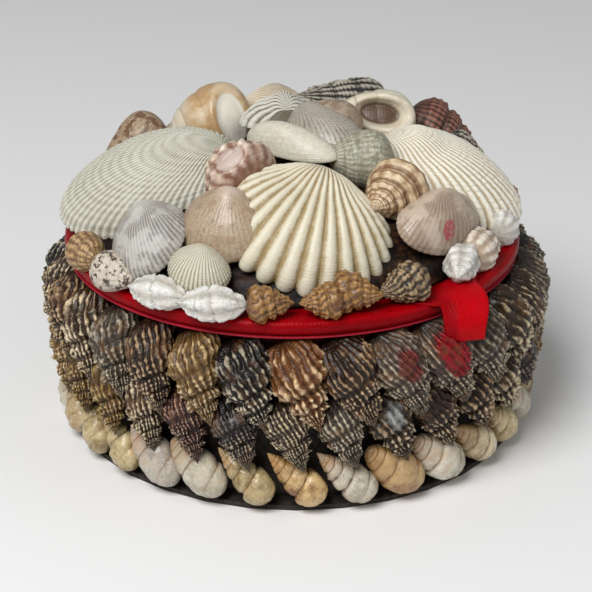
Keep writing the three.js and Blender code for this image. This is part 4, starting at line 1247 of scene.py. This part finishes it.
# name of the solid, record slot, shape, then foot and head as right, away and lift in mm
heap = [
    ("front_cockle", "white_shell", cockle(42, 11, 25, "creamRibs", Columns=250, Rings=38, **{
        "Rib Depth": 1.1 * mm, "Scallop": 1.1 * mm, "Rib Round": 0.55}), (-2, -49, .5), (7, -20, 2.5)),
    ("left_cockle", "white_shell", cockle(35, 11, 60, "whiteRibs", Columns=300, Rings=46, **{
        "Rib Depth": 0.28 * mm, "Scallop": 0.35 * mm, "Beads": 0.12 * mm, "Bead Rows": 15.0}),
     (-59, 0, 5), (-12, -11, 1.5)),
    ("right_cockle", "white_shell", cockle(36, 11, 38, "dottedRibs", Columns=266, Rings=36, **{
        "Rib Depth": 0.6 * mm, "Scallop": 0.7 * mm}), (58, 1, 4.0), (19, -4, 1.0)),
    ("back_cockle", "white_shell", cockle(36, 10, 34, "backRibs", Columns=204, Rings=26, **{
        "Rib Depth": 0.8 * mm, "Scallop": 0.9 * mm}), (-8, 50, .5), (-3, 22, 2)),
    ("moon_snail", "tan_shell", coil(20, "orangeMoon", Tip=0.5, Columns=96, Rings=48, **{
        **plain, "Mouth X": -0.1, "Mouth Y": -0.55, "Mouth Wide": 0.85, "Mouth Long": 0.40,
        "Mouth Depth": 1.6 * mm, "Lip": 0.7 * mm}), (-11, 21, 5.5), (-32, 19, 4.5)),
    ("open_snail", "white_shell", coil(17, "ivory", Tip=0.5, Columns=96, Rings=48, **{
        **plain, "Mouth X": 0.2, "Mouth Y": 0.0, "Mouth Wide": 0.5, "Mouth Long": 0.7,
        "Mouth Depth": 3.8 * mm, "Lip": 0.8 * mm}), (32, 19, 7), (11, 15, 5.5)),
    ("beaded_top", "gold_shell", coil(17.5, "redCone", Columns=96, Rings=60, **{
        "Tip": 1.05, "Ribs": 34.0, "Rib Depth": 0.1 * mm, "Knobs": 0.25 * mm, "Cords": 4.0,
        "Cord Depth": 0.2 * mm, "Body From": 0.7, "Seam": 0.2, "Growth": 1.4}),
     (30, 28, 8), (53, 22, 6.5)),
    ("tan_clam", "tan_shell", clam(22, 8, "tanMottle"), (-20, -44, 4), (-12, -30, 6)),
    ("pink_snail", "tan_shell", coil(19, "pinkMottle", Columns=90, Rings=50, **{
        "Ribs": 16.0, "Rib Depth": 0.1 * mm, "Knobs": 0.6 * mm, "Cords": 3.0, "Tip": 0.75,
        "Body From": 0.6, "Cord Depth": 0.15 * mm, "Seam": 0.16, "Wear": 0.9 * mm,
        "Wear Scale": 260.0, "Mouth X": 0.15, "Mouth Y": -0.35, "Mouth Wide": 0.5,
        "Mouth Long": 0.45, "Mouth Depth": 1.6 * mm, "Lip": 0.4 * mm}),
     (-9, -29, 6.5), (-19, -16, 8.0)),
    ("lilac_clam", "lilac_shell", clam(22, 8, "lilacFine", Columns=200, **{
        "Ribs": 50.0, "Rib Depth": 0.12 * mm}), (-37, -43.5, 3.5), (-31, -26, 4.5)),
    ("right_clam", "lilac_shell", clam(29, 8, "roseFine"), (39.8, -31.0, 3.6), (31, -22.0, 4)),
    ("turban", "gold_shell", coil(15, "goldBanded", Columns=96, Rings=48, **{
        "Ribs": 12.0, "Rib Depth": 0.1 * mm, "Knobs": 0.35 * mm, "Cords": 2.0, "Cord Depth": 0.2 * mm,
        "Tip": 0.85, "Growth": 1.5, "Seam": 0.42, "Body From": 0.75, "Shoulder": 0.16}),
     (29, -17, 5), (19, -33, 5.5)),
    ("green_nerite", "lilac_shell", coil(15, "greenStone", Tip=0.5, **{
        **plain, "Wear": 0.7 * mm}), (25, -13, 6.5), (9, -14, 5)),
    ("top_cockle", "white_shell", cockle(20, 7, 18, "topRibs", Columns=162, Rings=30, **{
        "Rib Depth": 0.8 * mm, "Scallop": 0.7 * mm}), (-4, 19, 4), (-1, 1, 6)),
    ("white_clam", "white_shell", clam(10.5, 6, "whiteSmooth", **{"Ribs": 0.0, "Umbo": 0.0}),
     (11, -17, 6.5), (-11, -2, 5.5)),
    ("grey_clam", "lilac_shell", clam(16, 7, "greyPearl"), (19, -10, 5.5), (-1, 6, 5.5)),
    ("beige_snail", "tan_shell", coil(13, "beigeSnail", Tip=0.5, **plain), (16, 0, 6), (4, 12, 7)),
    ("ribbed_top", "dark_shell", coil(12, "darkRibs", Columns=96, **{
        "Ribs": 16.0, "Rib Depth": 0.7 * mm, "Knobs": 0.4 * mm}), (25, 25.5, 9.6), (1, 16.5, 10.4)),
    ("mottled_snail", "tan_shell", coil(14, "brownMottle", **plain), (-34, 26, 8), (-51, 18, 8)),
    ("green_clam", "pale_shell", clam(16, 6, "paleGreen"), (-25, -51, 4.5), (-19, -42, 3.5)),
    ("gold_bead", "gold_shell", coil(10, "goldBead", Tip=0.7, **{
        **plain, "Knobs": 0.3 * mm, "Ribs": 14.0}), (-53, -23, 4), (-47, -33, 4)),
    ("spotted_bead", "white_shell", coil(10, "spotted", Tip=0.7, **{
        **plain, "Knobs": 0.25 * mm, "Ribs": 14.0}), (-47, -35, 4), (-38, -44, 4)),
    ("left_spindle", "white_shell", coil(7.6, "chalkSpire", **spindle),
     (-24.5, -53, 3.4), (-39.5, -45, 3.4)),
    ("front_spindle", "white_shell", coil(8, "chalkSpire", **spindle),
     (-10, -56.5, 3.4), (-27.5, -54, 3.4)),
    ("brown_bead", "gold_shell", coil(8.5, "amber", **whelk), (-10.8, -56.3, 3.8), (0.6, -55.5, 3.8)),
    ("gold_whelk", "gold_shell", coil(8.5, "amber", **whelk), (12, -54, 3.8), (1.5, -56, 3.8)),
    ("amber_whelk", "gold_shell", coil(9.5, "amber", **whelk), (9, -51, 5), (22, -52, 4)),
    ("dark_whelk", "dark_shell", coil(9.5, "darkBead", **whelk),
     (31.8, -43.4, 4.8), (20.2, -51.6, 4.2)),
    ("drop_spindle", "white_shell", coil(8, "chalkSpire", **{**spindle, "Tip": 0.8, "End": 0.6}),
     (42.5, -28, 4.2), (39.5, -42, 3.8)),
    ("pink_bead", "pale_shell", coil(10.5, "pinkBead", Tip=0.7, **knobby),
     (42.5, -32.0, 4.4), (50.0, -18.5, 4.4)),
    ("edge_bead", "pale_shell", coil(9.5, "chalkSpire", Tip=0.7, **knobby),
     (51.5, -16.5, 4), (53.5, -4, 4)),
    ("side_bead", "gold_shell", coil(9.5, "amber", Tip=0.7, **knobby), (55, 2, 4.2), (52, 15, 4.2)),
    ("side_snail", "dark_shell", coil(12, "darkRibs", Columns=96, **{
        "Ribs": 20.0, "Rib Depth": 0.6 * mm}), (38, 20, 5), (54, 18, 4.8)),
    ("back_clam", "lilac_shell", clam(22, 7, "lilacFine"), (36, 42, 2.5), (21, 29, 3.5)),
    ("back_spindle", "white_shell", coil(9, "chalkSpire", **spindle), (44, 33, 4), (30, 46, 4)),
    ("back_bead", "pale_shell", coil(10, "pinkBead", Tip=0.7, **knobby), (12, 53, 4.4), (25, 47, 4.4)),
    ("hinge_clam", "tan_shell", clam(21, 6, "tanMottle"), (-33, 40, 1), (-24, 28, 4.5)),
    ("hinge_bead", "dark_shell", coil(9.5, "darkBead", Tip=0.7, **knobby),
     (-50, 19, 4.4), (-55, 6, 4.4)),
    ("hinge_snail", "gold_shell", coil(9, "goldBead", Tip=0.7, **plain), (-41, 33, 3.6), (-48, 21, 4)),
]


pile = {
    "turn": -45.0,                   # the table's right and away are as seen in the closed view
    "leanFrom": 12 * mm,             # shells lean away from a point this far under the board's top
    "shown": (-0.64, -0.64, 0.43),   # openings look this way
}


def heapPoint(right, away, lift):
    height = lid["top"] + bedRise(math.hypot(right, away) * mm) + lift * mm
    point = Vector((right * mm, away * mm, height))
    return Matrix.Rotation(math.radians(pile["turn"]), 3, "Z") @ point


def standing(foot, head):
    middle = (foot + head) / 2
    along = (head - foot).normalized()
    outward = (middle - Vector((0, 0, lid["top"] - pile["leanFrom"]))).normalized()
    back = (outward - along * outward.dot(along)).normalized()
    side = along.cross(back)
    stand = Matrix((side, along, back)).transposed().to_4x4()
    stand.translation = middle + Vector((lid["shift"], 0, 0))
    return stand


def heapShell(node, slot, shape, foot, head):
    foot, head = heapPoint(*foot), heapPoint(*head)
    values = {label: value for label, value in shape.items() if label not in ("tree", "wall", "look")}
    values["Length"] = (head - foot).length
    values["Finish"] = finishes[shape["look"]]
    values.setdefault("Seed", round(foot.x * 1000 % 1, 3))
    stand = standing(foot, head)
    if "Mouth Depth" in values:
        seen = stand.to_3x3().transposed() @ Vector(pile["shown"])
        values["Mouth Turn"] = math.atan2(seen.x, seen.z)
    first, *others = node.split("_")
    name = first + "".join(word.capitalize() for word in others) + ("" if others else "Shell")
    mesh = grown(name, shape["tree"], values, wall=shape.get("wall", 0.0))
    mesh.transform(stand)
    return piece(name, mesh, "lid", slot, node)


for entry in heap:
    heapShell(*entry)

print("floor, light and camera")
studio = {
    "floorSize": 4.0,
    "azimuth": -45.10,
    "elevation": 25.33,
    "distance": 0.5606,
    "aim": (0.0, 0.0, 0.030),
    "lens": 129.7,
    "keyPlace": (-0.55, -0.15, 0.75),
    "keySize": 0.5,
    "keyPower": 7.3,
    "fillPlace": (0.35, -0.65, 0.45),
    "fillSize": 0.7,
    "fillPower": 0.5,
    "skyStrength": 0.27,
}


def paleFloor():
    half = studio["floorSize"] / 2
    corners = [(-half, -half, 0), (half, -half, 0), (half, half, 0), (-half, half, 0)]
    mesh = bpy.data.meshes.new("paleFloor")
    mesh.from_pydata(corners, [], [(0, 1, 2, 3)])
    finish, tree, skin, where = startFinish("paleFloor")
    cloud = noiseOf(tree, where, 3.0)
    feed(tree, skin.inputs["Base Color"], mixed(tree, (0.86, 0.86, 0.86), (0.90, 0.90, 0.90), cloud))
    skin.inputs["Roughness"].default_value = 0.8
    mesh.materials.append(finish)
    floor = bpy.data.objects.new("paleFloor", mesh)
    bpy.context.scene.collection.objects.link(floor)


def softLight(name, place, size, power):
    light = bpy.data.lights.new(name, "AREA")
    light.shape, light.size, light.energy = "DISK", size, power
    lamp = bpy.data.objects.new(name, light)
    lamp.location = place
    lamp.rotation_euler = (Vector(studio["aim"]) - Vector(place)).to_track_quat("-Z", "Y").to_euler()
    bpy.context.scene.collection.objects.link(lamp)


def camera():
    a, e = math.radians(studio["azimuth"]), math.radians(studio["elevation"])
    back = Vector((math.sin(a) * math.cos(e), -math.cos(a) * math.cos(e), math.sin(e)))
    data = bpy.data.cameras.new("photoCamera")
    data.lens, data.sensor_width = studio["lens"], 36.0
    data.clip_start, data.clip_end = 0.01, 20.0
    eye = bpy.data.objects.new("photoCamera", data)
    eye.location = Vector(studio["aim"]) + back * studio["distance"]
    eye.rotation_euler = (-back).to_track_quat("-Z", "Y").to_euler()
    bpy.context.scene.collection.objects.link(eye)
    bpy.context.scene.camera = eye


paleFloor()
for label in ("key", "fill"):
    softLight(label + "Light", studio[label + "Place"], studio[label + "Size"], studio[label + "Power"])
sky = bpy.data.worlds.new("softSky")
sky.use_nodes = True
glow = sky.node_tree.nodes["Background"]
glow.inputs["Color"].default_value = (1.0, 1.0, 1.0, 1.0)
glow.inputs["Strength"].default_value = studio["skyStrength"]
bpy.context.scene.world = sky
bpy.context.scene.view_settings.view_transform = "Standard"
camera()

print("done")
